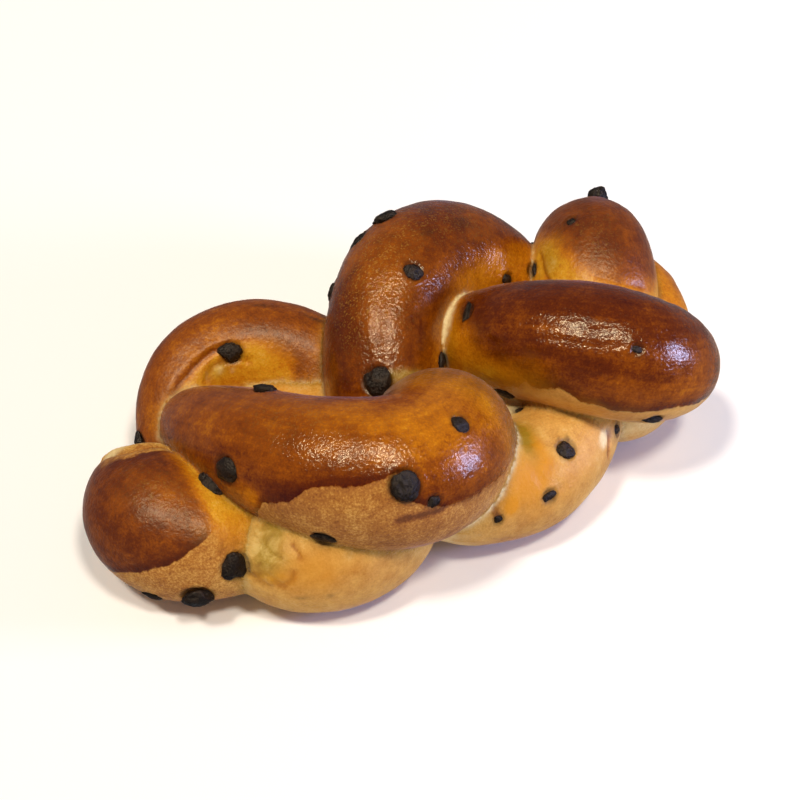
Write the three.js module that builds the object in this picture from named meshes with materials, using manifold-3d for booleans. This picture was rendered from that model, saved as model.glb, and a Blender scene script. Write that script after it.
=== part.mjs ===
// Braided loaf: a free-standing plait of three ropes of filled sweet dough, about 255 mm long.
// Millimetres, +X along the braid, +Y to the back, +Z up, the flat underside on z = 0.

import * as THREE from 'three';
import * as BufferGeometryUtils from 'three/addons/utils/BufferGeometryUtils.js';
import Module from 'manifold-3d';

// Driving sizes of the loaf
const HALF_LENGTH = 120;
const HALF_WIDTH = 60;
const LOBE_HEIGHT = 60;
const ROPE_GIRTH = 24;

// Girth of the straight runs that stay hidden below a crossing, as a share of their ends
const HIDDEN_GIRTH = 0.95;

// Facets of one length of rope: around it, along it and over each rounded end
const ROPE_SIDES = 18;
const RING_STEP = 8;
const END_RINGS = 4;

// Facets finer than this many mm are merged into their neighbours
const FINEST_DETAIL = 0.08;

// Facets of one chocolate chip, and how far it stands out of the crust as a share of its width
const CHIP_SIDES = 6;
const CHIP_RINGS = 4;
const CHIP_PROUD = 0.2;

// Lengths of rope that show, as shares of the driving sizes: the four points that bend each one
// (along, across, up) and its girth at the start, in the middle and at the end.
const LENGTHS = {
  leftBall: {
    bend: [[-0.82, 0.13, 0.33], [-0.84, -0.12, 0.42], [-0.76, -0.29, 0.35], [-0.61, -0.44, 0.33]],
    girth: [0.90, 0.97, 0.60],
  },
  leftTurn: {
    bend: [[-0.61, -0.42, 0.33], [-0.52, -0.77, 0.33], [-0.25, -0.83, 0.33], [-0.13, -0.30, 0.33]],
    girth: [0.60, 0.93, 0.76],
  },
  backArch: {
    bend: [[-0.07, -0.24, 0.30], [-0.07, 0.46, 1.10], [0.42, 1.03, 1.07], [0.63, 0.53, 0.26]],
    girth: [0.72, 0.93, 0.72],
  },
  backTuck: {
    bend: [[0.65, 0.49, 0.27], [0.71, 0.36, 0.28], [0.78, 0.17, 0.27], [0.86, 0.02, 0.27]],
    girth: [0.62, 0.67, 0.60],
  },
  backLeft: {
    bend: [[-0.64, 0.44, 0.26], [-0.59, 1.11, 0.66], [-0.19, 0.93, 0.68], [-0.07, 0.40, 0.31]],
    girth: [0.46, 0.67, 0.75],
  },
  rightRoll: {
    bend: [[0.25, 0.28, 0.46], [0.33, -0.20, 1.02], [0.53, -0.90, 1.05], [0.76, -0.63, 0.60]],
    girth: [0.54, 0.96, 0.80],
  },
  rightTurn: {
    bend: [[0.71, -0.53, 0.42], [0.68, -0.54, 0.34], [0.64, -0.52, 0.30], [0.59, -0.40, 0.27]],
    girth: [0.64, 0.70, 0.62],
  },
  frontRoll: {
    bend: [[-0.58, 0.41, 0.52], [-0.56, -0.21, 0.89], [-0.30, -1.12, 0.90], [-0.02, -0.55, 0.65]],
    girth: [0.54, 1.00, 1.08],
  },
  frontTurn: {
    bend: [[-0.04, -0.63, 0.42], [0.12, -0.88, 0.32], [0.37, -0.82, 0.30], [0.53, -0.28, 0.33]],
    girth: [0.86, 0.86, 0.83],
  },
  rightKnob: {
    bend: [[0.68, -0.13, 0.37], [0.75, 0.10, 0.58], [0.82, 0.36, 0.72], [0.88, 0.54, 0.56]],
    girth: [0.79, 1.00, 0.82],
  },
  endNub: {
    bend: [[0.95, 0.50, 0.30], [1.00, 0.38, 0.30], [1.02, 0.20, 0.27], [0.98, 0.03, 0.27]],
    girth: [0.62, 0.58, 0.54],
  },
  heartBack: {
    bend: [[-0.60, 0.45, 0.23], [-0.20, 0.48, 0.25], [0.30, 0.42, 0.25], [0.84, 0.24, 0.24]],
    girth: [0.58, 0.80, 0.66],
  },
  heartMiddle: {
    bend: [[-0.64, 0.22, 0.22], [-0.25, 0.10, 0.24], [0.28, 0.06, 0.24], [0.82, 0.02, 0.22]],
    girth: [0.58, 0.76, 0.62],
  },
  heartFront: {
    bend: [[-0.66, 0.00, 0.23], [-0.30, -0.30, 0.25], [0.20, -0.30, 0.26], [0.80, -0.22, 0.24]],
    girth: [0.58, 0.84, 0.66],
  },
};

// The three ropes, each named by the lengths that it shows from its left end to its right end.
// Between two lengths a rope runs straight, hidden below the rope that crosses it.
const ROPES = [
  ['leftBall', 'leftTurn', 'backArch', 'backTuck'],
  ['backLeft', 'rightRoll', 'rightTurn'],
  ['frontRoll', 'frontTurn', 'rightKnob', 'endNub'],
];

// The dough that has grown together in the middle of the loaf, below the crossings
const HEART = ['heartBack', 'heartMiddle', 'heartFront'];

// The outer lobes that come down to the tray, each given the levels below it that fill it in:
// the share of its height, of its reach from the middle of the loaf and of its girth.
const SEATED_LENGTHS = ['backLeft', 'backArch', 'rightKnob'];
const SEAT_LEVELS = [
  { height: 0.69, reach: 0.96, girth: 0.96 },
  { height: 0.38, reach: 0.92, girth: 0.92 },
];

// Chocolate chips in the crust: the length of rope that holds each one, how far along it, how far
// round it in degrees from the top (+ to the left of the rope's run), its width in mm, its other
// width as a share of that, and how many degrees its width is turned from the rope's run.
const CHIPS = [
  ['frontRoll', 0.71, -53, 10.4, 0.98, 31],
  ['frontRoll', 0.855, -26, 6.8, 0.95, -60],
  ['frontRoll', 0.76, -70, 4.8, 0.8, 39],
  ['frontRoll', 0.341, -68, 9.6, 0.9, 56],
  ['frontRoll', 0.312, 30, 7, 0.5, 16],
  ['backArch', 0.158, 10, 10.6, 0.85, -16],
  ['leftBall', 0.536, 28, 9.4, 0.5, -19],
  ['leftBall', 0.784, -57, 9.4, 0.98, 2],
  ['leftBall', 0.648, -94, 11.4, 0.7, 24],
  ['leftBall', 0.479, -111, 7.4, 0.5, 1],
  ['frontRoll', 0.572, -109, 10.4, 0.42, 0],
  ['backLeft', 0.089, 92, 6.4, 0.8, 160],
  ['backLeft', 0.516, -54, 8.4, 0.8, -25],
  ['backLeft', 0.3, 104, 8, 0.85, 40],
  ['backLeft', 0.58, 88, 6.5, 0.8, 70],
  ['backArch', 0.398, -25, 7.2, 0.92, -59],
  ['backArch', 0.52, 34, 9.4, 0.62, -53],
  ['backArch', 0.465, 52, 9, 0.5, -51],
  ['backArch', 0.358, 74, 7, 0.65, -27],
  ['backArch', 0.216, -84, 5, 0.8, 5],
  ['backArch', 0.793, -67, 5.4, 0.7, 4],
  ['backArch', 0.66, 82, 8.5, 0.8, 30],
  ['backArch', 0.5, 106, 6, 0.9, 80],
  ['backArch', 0.86, 70, 7, 0.75, 10],
  ['rightRoll', 0.248, -25, 9.6, 0.3, -80],
  ['rightRoll', 0.334, -123, 8.6, 0.6, -48],
  ['rightRoll', 0.671, -42, 4.6, 0.6, -9],
  ['rightRoll', 0.93, 70, 8, 0.8, 20],
  ['frontTurn', 0.514, -34, 7.4, 0.88, -47],
  ['frontTurn', 0.38, -67, 7, 0.62, 15],
  ['frontTurn', 0.624, 44, 5.4, 0.5, -115],
  ['frontTurn', 0.781, -72, 6.4, 0.48, -36],
  ['rightTurn', 0.378, 75, 8, 0.36, 141],
  ['rightKnob', 0.93, -6, 7, 0.75, -80],
  ['rightKnob', 0.518, 75, 7.8, 0.36, 0],
  ['rightKnob', 0.75, 104, 7.5, 0.8, 30],
  ['rightKnob', 0.35, 92, 6, 0.9, 60],
  ['endNub', 0.6, 78, 7, 0.8, 10],
];

const wasm = await Module();
wasm.setup();

// Closed solid of a three.js geometry
function solidOf(geometry) {
  geometry.deleteAttribute('normal');
  geometry.deleteAttribute('uv');
  const welded = BufferGeometryUtils.mergeVertices(geometry, 1e-4);
  return new wasm.Manifold(new wasm.Mesh({
    numProp: 3,
    vertProperties: new Float32Array(welded.attributes.position.array),
    triVerts: new Uint32Array(welded.index.array),
  }));
}

// Point of the loaf for three shares of its driving sizes
function placed([along, across, up]) {
  return new THREE.Vector3(along * HALF_LENGTH, across * HALF_WIDTH, up * LOBE_HEIGHT);
}

// Smooth girth through the start, middle and end values of a length
function girthAt([start, middle, end], t) {
  const mix = start * (1 - t) * (1 - 2 * t) + middle * 4 * t * (1 - t) + end * t * (2 * t - 1);
  return mix * ROPE_GIRTH;
}

// Directions across a curve at a share of its run: along it, to its left and away from its underside
function axesAt(curve, t) {
  const run = curve.getTangent(t).normalize();
  const left = new THREE.Vector3(0, 0, 1).cross(run).normalize();
  const top = run.clone().cross(left);
  return { run, left, top };
}

// Round-ended length of rope: the rings of a ball spread along a curve, from the ball's upper pole
// at the rounded start to its lower pole at the rounded end
function ropeLength(curve, girth) {
  const rings = Math.max(2, Math.round(curve.getLength() / RING_STEP));
  const allRings = rings + 2 * END_RINGS;
  const ball = new THREE.SphereGeometry(1, ROPE_SIDES, allRings);
  const points = ball.attributes.position;
  for (let i = 0; i < points.count; i += 1) {
    const ring = Math.floor(i / (ROPE_SIDES + 1));
    const column = (i % (ROPE_SIDES + 1)) % ROPE_SIDES;
    const bodyRing = THREE.MathUtils.clamp(ring, END_RINGS, END_RINGS + rings);
    const tip = ((ring - bodyRing) / END_RINGS) * (Math.PI / 2);
    const around = (column / ROPE_SIDES) * 2 * Math.PI;
    const atPole = ring === 0 || ring === allRings;
    const t = (bodyRing - END_RINGS) / rings;
    const size = girthAt(girth, t);
    const radius = atPole ? 0 : Math.cos(tip) * size;
    const { run, left, top } = axesAt(curve, t);
    const place = curve.getPoint(t)
      .addScaledVector(run, Math.sin(tip) * size)
      .addScaledVector(left, -Math.cos(around) * radius)
      .addScaledVector(top, Math.sin(around) * radius);
    points.setXYZ(i, place.x, place.y, place.z);
  }
  return solidOf(ball);
}

// Bent centre line of a named length, also drawn in and lowered for the levels that seat it
function centreLine(name, { height, reach } = { height: 1, reach: 1 }) {
  const bends = LENGTHS[name].bend.map(([along, across, up]) => (
    placed([along, across * reach, up * height])
  ));
  return new THREE.CubicBezierCurve3(...bends);
}

// One rope: its lengths that show, and the straight runs between them
function ropeSolid(names) {
  let rope = null;
  let last = null;
  for (const name of names) {
    const curve = centreLine(name);
    const { girth } = LENGTHS[name];
    const length = ropeLength(curve, girth);
    rope = rope ? rope.add(length) : length;
    if (last) {
      const run = new THREE.LineCurve3(last.end, curve.getPoint(0));
      const ends = [last.girth * HIDDEN_GIRTH, girth[0] * HIDDEN_GIRTH];
      rope = rope.add(ropeLength(run, [ends[0], (ends[0] + ends[1]) / 2, ends[1]]));
    }
    last = { end: curve.getPoint(1), girth: girth[2] };
  }
  return rope;
}

// Levels that fill a seated lobe in down to the tray
function seatSolid(name) {
  let seat = null;
  for (const level of SEAT_LEVELS) {
    const girth = LENGTHS[name].girth.map((share) => share * level.girth);
    const length = ropeLength(centreLine(name, level), girth);
    seat = seat ? seat.add(length) : length;
  }
  return seat;
}

// Direction out of a length of rope, square to its skin, which leans where the girth changes
function outOf(curve, girth, along, round) {
  const { run, left, top } = axesAt(curve, along);
  const step = 0.01;
  const before = Math.max(along - step, 0);
  const after = Math.min(along + step, 1);
  const gap = curve.getPoint(before).distanceTo(curve.getPoint(after));
  const lean = (girthAt(girth, before) - girthAt(girth, after)) / gap;
  const level = Math.sqrt(Math.max(1 - lean * lean, 0));
  const angle = THREE.MathUtils.degToRad(round);
  return run.multiplyScalar(lean)
    .addScaledVector(top, Math.cos(angle) * level)
    .addScaledVector(left, Math.sin(angle) * level);
}

// One chip: a low flattened ball pressed into the crust of its length of rope
function chipSolid([name, along, round, width, slim, turn]) {
  const curve = centreLine(name);
  const { girth } = LENGTHS[name];
  const out = outOf(curve, girth, along, round);
  const depth = width * (0.5 - CHIP_PROUD);
  const place = curve.getPoint(along).addScaledVector(out, girthAt(girth, along) - depth);
  const { run } = axesAt(curve, along);
  const level = run.addScaledVector(out, -run.dot(out)).normalize();
  const turned = level.applyAxisAngle(out, THREE.MathUtils.degToRad(turn));
  const side = turned.clone().cross(out);
  const chip = new THREE.SphereGeometry(width / 2, CHIP_SIDES, CHIP_RINGS);
  chip.scale(1, 1, slim);
  chip.applyMatrix4(new THREE.Matrix4().makeBasis(turned, out, side).setPosition(place));
  return solidOf(chip);
}

// The whole loaf, cut flat where it lies on the tray
function loafSolid() {
  let loaf = null;
  for (const names of ROPES) {
    const rope = ropeSolid(names);
    loaf = loaf ? loaf.add(rope) : rope;
  }
  for (const name of HEART) {
    loaf = loaf.add(ropeLength(centreLine(name), LENGTHS[name].girth));
  }
  for (const name of SEATED_LENGTHS) {
    loaf = loaf.add(seatSolid(name));
  }
  for (const chip of CHIPS) {
    loaf = loaf.add(chipSolid(chip));
  }
  const below = new THREE.BoxGeometry(4 * HALF_LENGTH, 4 * HALF_WIDTH, LOBE_HEIGHT);
  below.translate(0, 0, -LOBE_HEIGHT / 2);
  return loaf.subtract(solidOf(below));
}

// The solid without slivers and without the pockets that the ropes close in between them: its one
// outer skin
function tidied(solid) {
  const skins = solid.simplify(FINEST_DETAIL).decompose();
  return skins.reduce((widest, skin) => (skin.volume() > widest.volume() ? skin : widest));
}

// Geometry of a solid, moved so that the middle of its flat underside is the origin
function geometryOf(solid) {
  const mesh = solid.getMesh();
  const geometry = new THREE.BufferGeometry();
  geometry.setAttribute('position', new THREE.BufferAttribute(mesh.vertProperties, 3));
  geometry.setIndex(new THREE.BufferAttribute(mesh.triVerts, 1));
  geometry.computeBoundingBox();
  const middle = geometry.boundingBox.getCenter(new THREE.Vector3());
  geometry.translate(-middle.x, -middle.y, 0);
  geometry.computeVertexNormals();
  return geometry;
}

const crust = new THREE.MeshStandardMaterial({ color: 0xa8642a, roughness: 0.45, metalness: 0 });
const loaf = new THREE.Mesh(geometryOf(tidied(loafSolid())), crust);
loaf.name = 'loaf';

const group = new THREE.Group();
group.add(loaf);
export default group;
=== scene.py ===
"""Braided sweet loaf: its baked crust with the egg wash, and the chocolate chips in it.

The crust is one closed skin round three plaited ropes of dough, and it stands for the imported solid
of the loaf. Sizes are in millimetres until a mesh is made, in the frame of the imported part: +X along
the braid, +Y to the back, +Z up, and the flat underside on z = 0.
"""

import itertools
import logging
import math
from dataclasses import dataclass, field
from enum import Enum
from typing import Any

import bmesh
import bpy
import numpy as np
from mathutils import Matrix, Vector
from mathutils.bvhtree import BVHTree


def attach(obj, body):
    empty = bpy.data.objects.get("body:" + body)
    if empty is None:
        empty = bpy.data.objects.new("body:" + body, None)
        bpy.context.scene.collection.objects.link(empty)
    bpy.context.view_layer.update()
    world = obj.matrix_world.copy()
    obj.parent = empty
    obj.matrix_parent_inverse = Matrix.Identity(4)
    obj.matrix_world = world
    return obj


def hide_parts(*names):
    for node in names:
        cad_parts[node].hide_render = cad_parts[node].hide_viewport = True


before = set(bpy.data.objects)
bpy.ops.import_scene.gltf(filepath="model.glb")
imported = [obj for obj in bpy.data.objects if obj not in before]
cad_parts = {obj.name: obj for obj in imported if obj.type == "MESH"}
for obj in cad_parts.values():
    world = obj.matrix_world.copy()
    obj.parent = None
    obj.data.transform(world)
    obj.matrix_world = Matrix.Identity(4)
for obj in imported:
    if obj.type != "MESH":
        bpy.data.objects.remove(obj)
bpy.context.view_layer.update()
LOG = logging.getLogger("loaf")

Array = np.ndarray
Triple = tuple[float, float, float]

MM = 0.001
CAD_NODE = "loaf"
CAD_BODY = "root"

# Driving sizes of the loaf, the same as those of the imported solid
HALF_LENGTH = 120.0
HALF_WIDTH = 60.0
LOBE_HEIGHT = 60.0
ROPE_GIRTH = 24.0
HIDDEN_GIRTH = 0.95
FRAME_SHIFT = np.array([-6.27, 0.81, 0.0])

# How the skin is made: the mesh width, how far one lobe rounds into the next, and into what fills
# it in below, and how round the edge of the underside is
SKIN_STEP = 1.22
CREASE_BLEND = 1.3
FILLING_BLEND = 9.0
HEEL_BLEND = 5.0
FAR = 60.0
NEAR_ENOUGH = 16.0

# Bends and girths of the lengths of rope, as shares of the driving sizes
BENDS: dict[str, tuple[Triple, Triple, Triple, Triple]] = {
    "leftBall": ((-0.82, 0.13, 0.33), (-0.84, -0.12, 0.42), (-0.76, -0.29, 0.35), (-0.61, -0.44, 0.33)),
    "leftTurn": ((-0.61, -0.42, 0.33), (-0.52, -0.77, 0.33), (-0.25, -0.83, 0.33), (-0.13, -0.30, 0.33)),
    "backArch": ((-0.07, -0.24, 0.30), (-0.07, 0.46, 1.10), (0.42, 1.03, 1.07), (0.63, 0.53, 0.26)),
    "backTuck": ((0.65, 0.49, 0.27), (0.71, 0.36, 0.28), (0.78, 0.17, 0.27), (0.86, 0.02, 0.27)),
    "backLeft": ((-0.64, 0.44, 0.26), (-0.59, 1.11, 0.66), (-0.19, 0.93, 0.68), (-0.07, 0.40, 0.31)),
    "rightRoll": ((0.25, 0.28, 0.46), (0.33, -0.20, 1.02), (0.53, -0.90, 1.05), (0.76, -0.63, 0.60)),
    "rightTurn": ((0.71, -0.53, 0.42), (0.68, -0.54, 0.34), (0.64, -0.52, 0.30), (0.59, -0.40, 0.27)),
    "frontRoll": ((-0.58, 0.41, 0.52), (-0.56, -0.21, 0.89), (-0.30, -1.12, 0.90), (-0.02, -0.55, 0.65)),
    "frontTurn": ((-0.04, -0.63, 0.42), (0.12, -0.88, 0.32), (0.37, -0.82, 0.30), (0.53, -0.28, 0.33)),
    "rightKnob": ((0.68, -0.13, 0.37), (0.75, 0.10, 0.58), (0.82, 0.36, 0.72), (0.88, 0.54, 0.56)),
    "endNub": ((0.95, 0.50, 0.30), (1.00, 0.38, 0.30), (1.02, 0.20, 0.27), (0.98, 0.03, 0.27)),
    "heartBack": ((-0.60, 0.45, 0.23), (-0.20, 0.48, 0.25), (0.30, 0.42, 0.25), (0.84, 0.24, 0.24)),
    "heartMiddle": ((-0.64, 0.22, 0.22), (-0.25, 0.10, 0.24), (0.28, 0.06, 0.24), (0.82, 0.02, 0.22)),
    "heartFront": ((-0.66, 0.00, 0.23), (-0.30, -0.30, 0.25), (0.20, -0.30, 0.26), (0.80, -0.22, 0.24)),
}
GIRTHS: dict[str, Triple] = {
    "leftBall": (0.90, 0.97, 0.60),
    "leftTurn": (0.60, 0.93, 0.76),
    "backArch": (0.72, 0.93, 0.72),
    "backTuck": (0.62, 0.67, 0.60),
    "backLeft": (0.46, 0.67, 0.75),
    "rightRoll": (0.54, 0.96, 0.80),
    "rightTurn": (0.64, 0.70, 0.62),
    "frontRoll": (0.54, 1.00, 1.08),
    "frontTurn": (0.86, 0.86, 0.83),
    "rightKnob": (0.79, 1.00, 0.82),
    "endNub": (0.62, 0.58, 0.54),
    "heartBack": (0.58, 0.80, 0.66),
    "heartMiddle": (0.58, 0.76, 0.62),
    "heartFront": (0.58, 0.84, 0.66),
}
ROPES = (
    ("leftBall", "leftTurn", "backArch", "backTuck"),
    ("backLeft", "rightRoll", "rightTurn"),
    ("frontRoll", "frontTurn", "rightKnob", "endNub"),
)
HEART = ("heartBack", "heartMiddle", "heartFront")
SEATED = ("backLeft", "backArch", "rightKnob")

# Levels that seat a lobe on the tray: shares of its height, of its reach and of its girth
SEAT_LEVELS: tuple[Triple, ...] = ((0.69, 0.96, 0.96), (0.38, 0.92, 0.92))


class Across(Enum):
    """Which way the line between two tones of the crust is measured."""

    AROUND = "degrees from the top for shares of the run"
    ALONG = "shares of the run for degrees from the top"


@dataclass(frozen=True)
class Edge:
    """A line on a lobe beyond which the crust changes.

    Attributes:
        points: share of the run and degrees from the top of each of its points.
        across: which of the two is measured across it.
    """

    points: tuple[tuple[float, float], ...]
    across: Across = Across.AROUND

    def reach(self, share: Array, angle: Array, girth: Array, length: float) -> Array:
        """Mm from the line, + beyond it.

        Args:
            share: shares of the run.
            angle: degrees from the top.
            girth: girth of the lobe there in mm.
            length: length of the lobe in mm.

        Returns:
            The distances.
        """
        shares, angles = (np.array(column, float) for column in zip(*self.points))
        if self.across is Across.AROUND:
            return (angle - np.interp(share, shares, angles)) * girth * math.pi / 180
        return (share - np.interp(angle, angles, shares)) * length


# Lower edge of the egg wash on each lobe
WASH_EDGES: dict[str, Edge] = {
    "frontRoll": Edge(
        (
            (0.1, -150), (0.37, -150), (0.41, -104), (0.438, -83), (0.472, -80), (0.504, -74), (0.525, -66),
            (0.544, -60), (0.582, -55), (0.618, -53), (0.656, -50), (0.695, -44), (0.713, -53), (0.716, -61),
            (0.728, -67), (0.742, -70), (0.756, -71), (0.779, -77), (0.83, -80), (0.888, -83), (1.0, -86),
        )
    ),
    "rightRoll": Edge(
        (
            (0.0, -112), (0.38, -112), (0.41, -102), (0.435, -93), (0.452, -97), (0.49, -95), (0.527, -88),
            (0.559, -95), (0.581, -101), (0.631, -100), (0.675, -106), (0.736, -104), (0.779, -100),
            (0.826, -97), (0.868, -99), (0.9, -101), (1.0, -104),
        )
    ),
    "leftBall": Edge(
        (
            (0.0, -118), (0.25, -108), (0.343, -94), (0.377, -89), (0.438, -79), (0.507, -69), (0.554, -60),
            (0.598, -49), (0.643, -38), (0.665, -30), (0.72, -34), (0.80, -42), (1.0, -60),
        )
    ),
    "backArch": Edge(((0.0, -96), (0.25, -98), (0.6, -96), (1.0, -100))),
    "backLeft": Edge(((0.0, -70), (0.2, -80), (0.5, -100), (0.8, -100), (1.0, -100))),
    "rightKnob": Edge(((0.0, 20), (0.2, -40), (0.45, -105), (1.0, -108))),
    "endNub": Edge(((0.0, -60), (1.0, -60))),
}

# Soft line on each lobe between its golden part, before it, and its mahogany part, beyond it, and how
# many mm it takes. A width below 0 has the golden part beyond the line.
TONE_EDGES: dict[str, tuple[Edge, float]] = {
    "leftBall": (
        Edge(((0.0, 40), (0.147, 35), (0.308, 29), (0.434, 17), (0.53, 1), (0.608, -15), (0.7, -40))),
        -5.5,
    ),
    "rightRoll": (
        Edge(
            (
                (0.0, 110), (0.15, 60), (0.19, 0), (0.24, -30), (0.29, -60), (0.35, -78), (0.43, -92),
                (0.50, -108), (0.56, -130),
            )
        ),
        9.0,
    ),
    "backArch": (
        Edge(
            (
                (0.0, -50), (0.227, -61), (0.294, -68), (0.373, -76), (0.464, -77), (0.524, -71),
                (0.607, -65), (0.689, -55), (0.761, -42), (0.821, -22), (0.9, 10), (1.0, 60),
            )
        ),
        5.5,
    ),
    "backLeft": (
        Edge(
            (
                (0.0, 30), (0.171, -2), (0.283, -30), (0.359, -36), (0.447, -40), (0.528, -40), (0.62, -42),
                (0.70, -46), (0.76, -52), (0.80, -66), (0.86, -95), (1.0, -120),
            )
        ),
        4.5,
    ),
    "rightKnob": (
        Edge(
            (
                (0.60, -80), (0.45, -66), (0.38, -50), (0.37, -17), (0.41, 10), (0.53, 38), (0.68, 60),
                (0.80, 90),
            ),
            Across.ALONG,
        ),
        5.5,
    ),
}
BACK_EDGE = 104.0
UNWASHED = -20.0

# Where the edge of the wash is soft: shares of the lobe's run and how sharp it is there
SHARPNESS: dict[str, tuple[tuple[float, float], ...]] = {
    "leftBall": ((0.0, 0.12), (0.10, 0.15), (0.2, 0.8), (0.62, 1.0), (0.68, 0.10), (0.74, 0.04), (1.0, 0.04)),
    "rightKnob": ((0.0, 0.10), (1.0, 0.2)),
    "rightRoll": ((0.0, 0.1), (0.43, 0.1), (0.50, 0.6), (1.0, 0.8)),
    "frontRoll": ((0.0, 1.0), (0.73, 1.0), (0.80, 0.3), (1.0, 0.2)),
    "backLeft": ((0.0, 0.15), (1.0, 0.3)),
    "backArch": ((0.0, 0.2), (1.0, 0.3)),
}

# Line on the left ball before which its skin is folded back, pale and unwashed
SKIN_FOLD = Edge(
    ((-0.5, -80), (-0.28, -50), (-0.08, -29), (0.06, -2), (0.085, 17), (0.09, 60)), Across.ALONG
)


class Look(Enum):
    """What a patch does to the crust."""

    TONE = "bakes it darker, or lighter below 0"
    PALE = "shows pale floury dough"
    BRUISE = "shows chocolate through the skin"
    BUTTER = "shows the green-gold butter filling"
    TORN = "is torn open, with butter and pale dough in it"
    # Olive patches in the creases: painted crease shade, partly the dough's own green-gold tint
    HONEY = "shows golden-orange filling"
    # Stronger pebbling bump, with gold flecks painted into the wash as glints of light
    FLECK = "is pebbled, with gold flecks where the wash is thin"


@dataclass(frozen=True)
class Patch:
    """A patch of one lobe that looks different.

    Attributes:
        share: share of the lobe's run at its middle.
        angle: degrees from the top at its middle.
        along: half its length along the lobe in mm.
        around: half its width around the lobe in mm.
        strength: how much it changes.
    """

    share: float
    angle: float
    along: float
    around: float
    strength: float


# The fields of the patches, by their look and their lobe
PATCHES: dict[Look, dict[str, tuple[tuple[float, ...], ...]]] = {
    Look.TONE: {
        "frontRoll": (
            (0.808, -14, 18, 14, -0.2), (0.574, 5, 20, 7, -0.14), (0.214, -29, 15, 14, -0.04),
            (0.472, -66, 11, 3.5, 0.16), (0.609, -44, 9, 4, 0.1), (0.955, -35, 4, 26, -0.12),
            (0.403, -82, 5, 7, -0.24),
        ),
        "backArch": (
            (0.33, 0, 15, 9, -0.14), (0.255, 42, 14, 10, 0.12), (0.58, -18, 11, 13, 0.12),
            (0.45, 40, 12, 12, -0.08), (0.16, 0, 4, 20, 0.06),
        ),
        "rightRoll": (
            (0.72, -80, 20, 8, -0.14), (0.86, -60, 8, 12, -0.1), (0.5, -36, 9, 4, -0.1),
            (0.6, -47, 12, 4, -0.08), (0.45, -90, 8, 4, 0.14), (0.66, -60, 12, 3, 0.08),
            (0.3, -92, 9, 5, -0.16), (0.44, -108, 9, 4, -0.12),
        ),
        # The first leftBall patch lightens the crust round where its highlight falls: a painted highlight
        # glow
        "leftBall": ((0.42, -10, 8, 7, -0.12), (0.36, -62, 10, 6, 0.06), (0.76, -50, 7, 6, 0.12)),
        "backLeft": ((0.66, -30, 9, 5, 0.1), (0.62, -52, 7, 7, -0.08), (0.42, -20, 12, 8, -0.06)),
        "rightKnob": ((0.45, 36, 9, 8, -0.14), (0.9, 0, 6, 20, -0.06), (0.5, 60, 6, 6, -0.1)),
        "leftTurn": ((0.6, -60, 12, 6, 0.08),),
        "frontTurn": ((0.39, -38, 1.8, 2.2, 0.42), (0.39, -10, 3, 6, 0.22), (0.3, -50, 8, 9, 0.1)),
        "rightTurn": ((0.42, 85, 6, 6, -0.2),),
        "endNub": ((0.72, 50, 5, 5, 0.1),),
    },
    Look.PALE: {
        "frontTurn": ((0.7, -58, 4.0, 3.0, 0.75),),
        "backLeft": (
            (0.42, -68, 3.4, 1.5, 0.3), (0.34, -57, 3.4, 1.4, 0.3), (0.5, -76, 3.4, 1.4, 0.3),
            (0.87, -72, 1.8, 2.0, 0.5),
        ),
        "leftBall": ((-0.03, 4, 3.5, 16, 0.75),),
    },
    Look.BRUISE: {
        "backArch": ((0.51, -17, 3.2, 2.4, 0.42), (0.62, -22, 5.0, 3.0, 0.42), (0.57, 2, 3.0, 1.6, 0.34)),
        "leftTurn": (
            (0.456, -49, 2.4, 1.6, 0.22), (0.31, -88, 1.8, 1.0, 0.35), (0.38, -87, 1.2, 1.0, 0.35),
        ),
        "backLeft": ((0.648, 13, 3.2, 1.0, 0.7), (0.8, 11, 3.4, 1.0, 0.7)),
        "frontRoll": ((0.422, -11, 1.4, 1.2, 0.35),),
        "frontTurn": (
            (0.415, -61, 2.2, 1.2, 0.2), (0.515, -23, 1.0, 1.0, 0.7), (0.55, -27, 1.0, 1.3, 0.7),
            (0.483, -27, 1.0, 1.0, 0.7),
        ),
    },
    # Olive patches along creases: painted crease shade, partly the dough's own green-gold tint
    Look.BUTTER: {
        "leftTurn": ((0.22, -20, 3.4, 4, 0.8),),
        "leftBall": ((0.8, 14, 7, 5, 0.5), (0.74, 24, 7, 4, 0.5)),
        "frontTurn": ((0.4, 6, 6, 6, 0.95), (0.36, -12, 3.5, 6, 0.6)),
        "rightKnob": ((0.52, 52, 7, 7, 0.45),),
        "backLeft": ((0.36, -60, 5, 2, 0.4),),
        "rightRoll": ((0.2, -60, 3, 12, 0.35),),
    },
    Look.TORN: {
        "leftTurn": ((0.2, -42, 5.0, 11, 0.75),),
        "leftBall": ((0.9, -60, 3, 8, 0.4),),
        "backArch": ((0.165, -16, 1.6, 9, 0.6),),
        "backLeft": ((0.42, -66, 5, 2, 0.5),),
    },
    Look.HONEY: {
        "frontTurn": (
            (0.29, -42, 9, 12, 0.8), (0.41, -14, 3.2, 9, 0.9), (0.235, -67, 2.0, 3.0, 1.0),
            (0.5, -60, 14, 8, 0.45),
        ),
        "leftTurn": ((0.21, -68, 5, 3, 0.8), (0.32, -64, 8, 9, 0.35), (0.42, -50, 9, 8, 0.25)),
        "leftBall": ((0.8, -34, 9, 8, 0.4),),
        "backLeft": ((0.7, -55, 8, 6, 0.3),),
        "rightRoll": ((0.27, -75, 6, 8, 0.25), (0.38, -95, 12, 8, 0.55), (0.6, -114, 18, 6, 0.35)),
    },
    # Pebbling bump, and gold flecks painted as glints
    Look.FLECK: {
        "backArch": ((0.36, 12, 22, 15, 1.0), (0.62, -6, 16, 14, 0.5)),
        "frontRoll": ((0.541, -5, 34, 12, 0.45),),
        "leftBall": ((0.4, -10, 12, 10, 0.5),),
        "rightKnob": ((0.55, 10, 14, 14, 0.4),),
    },
}


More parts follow.
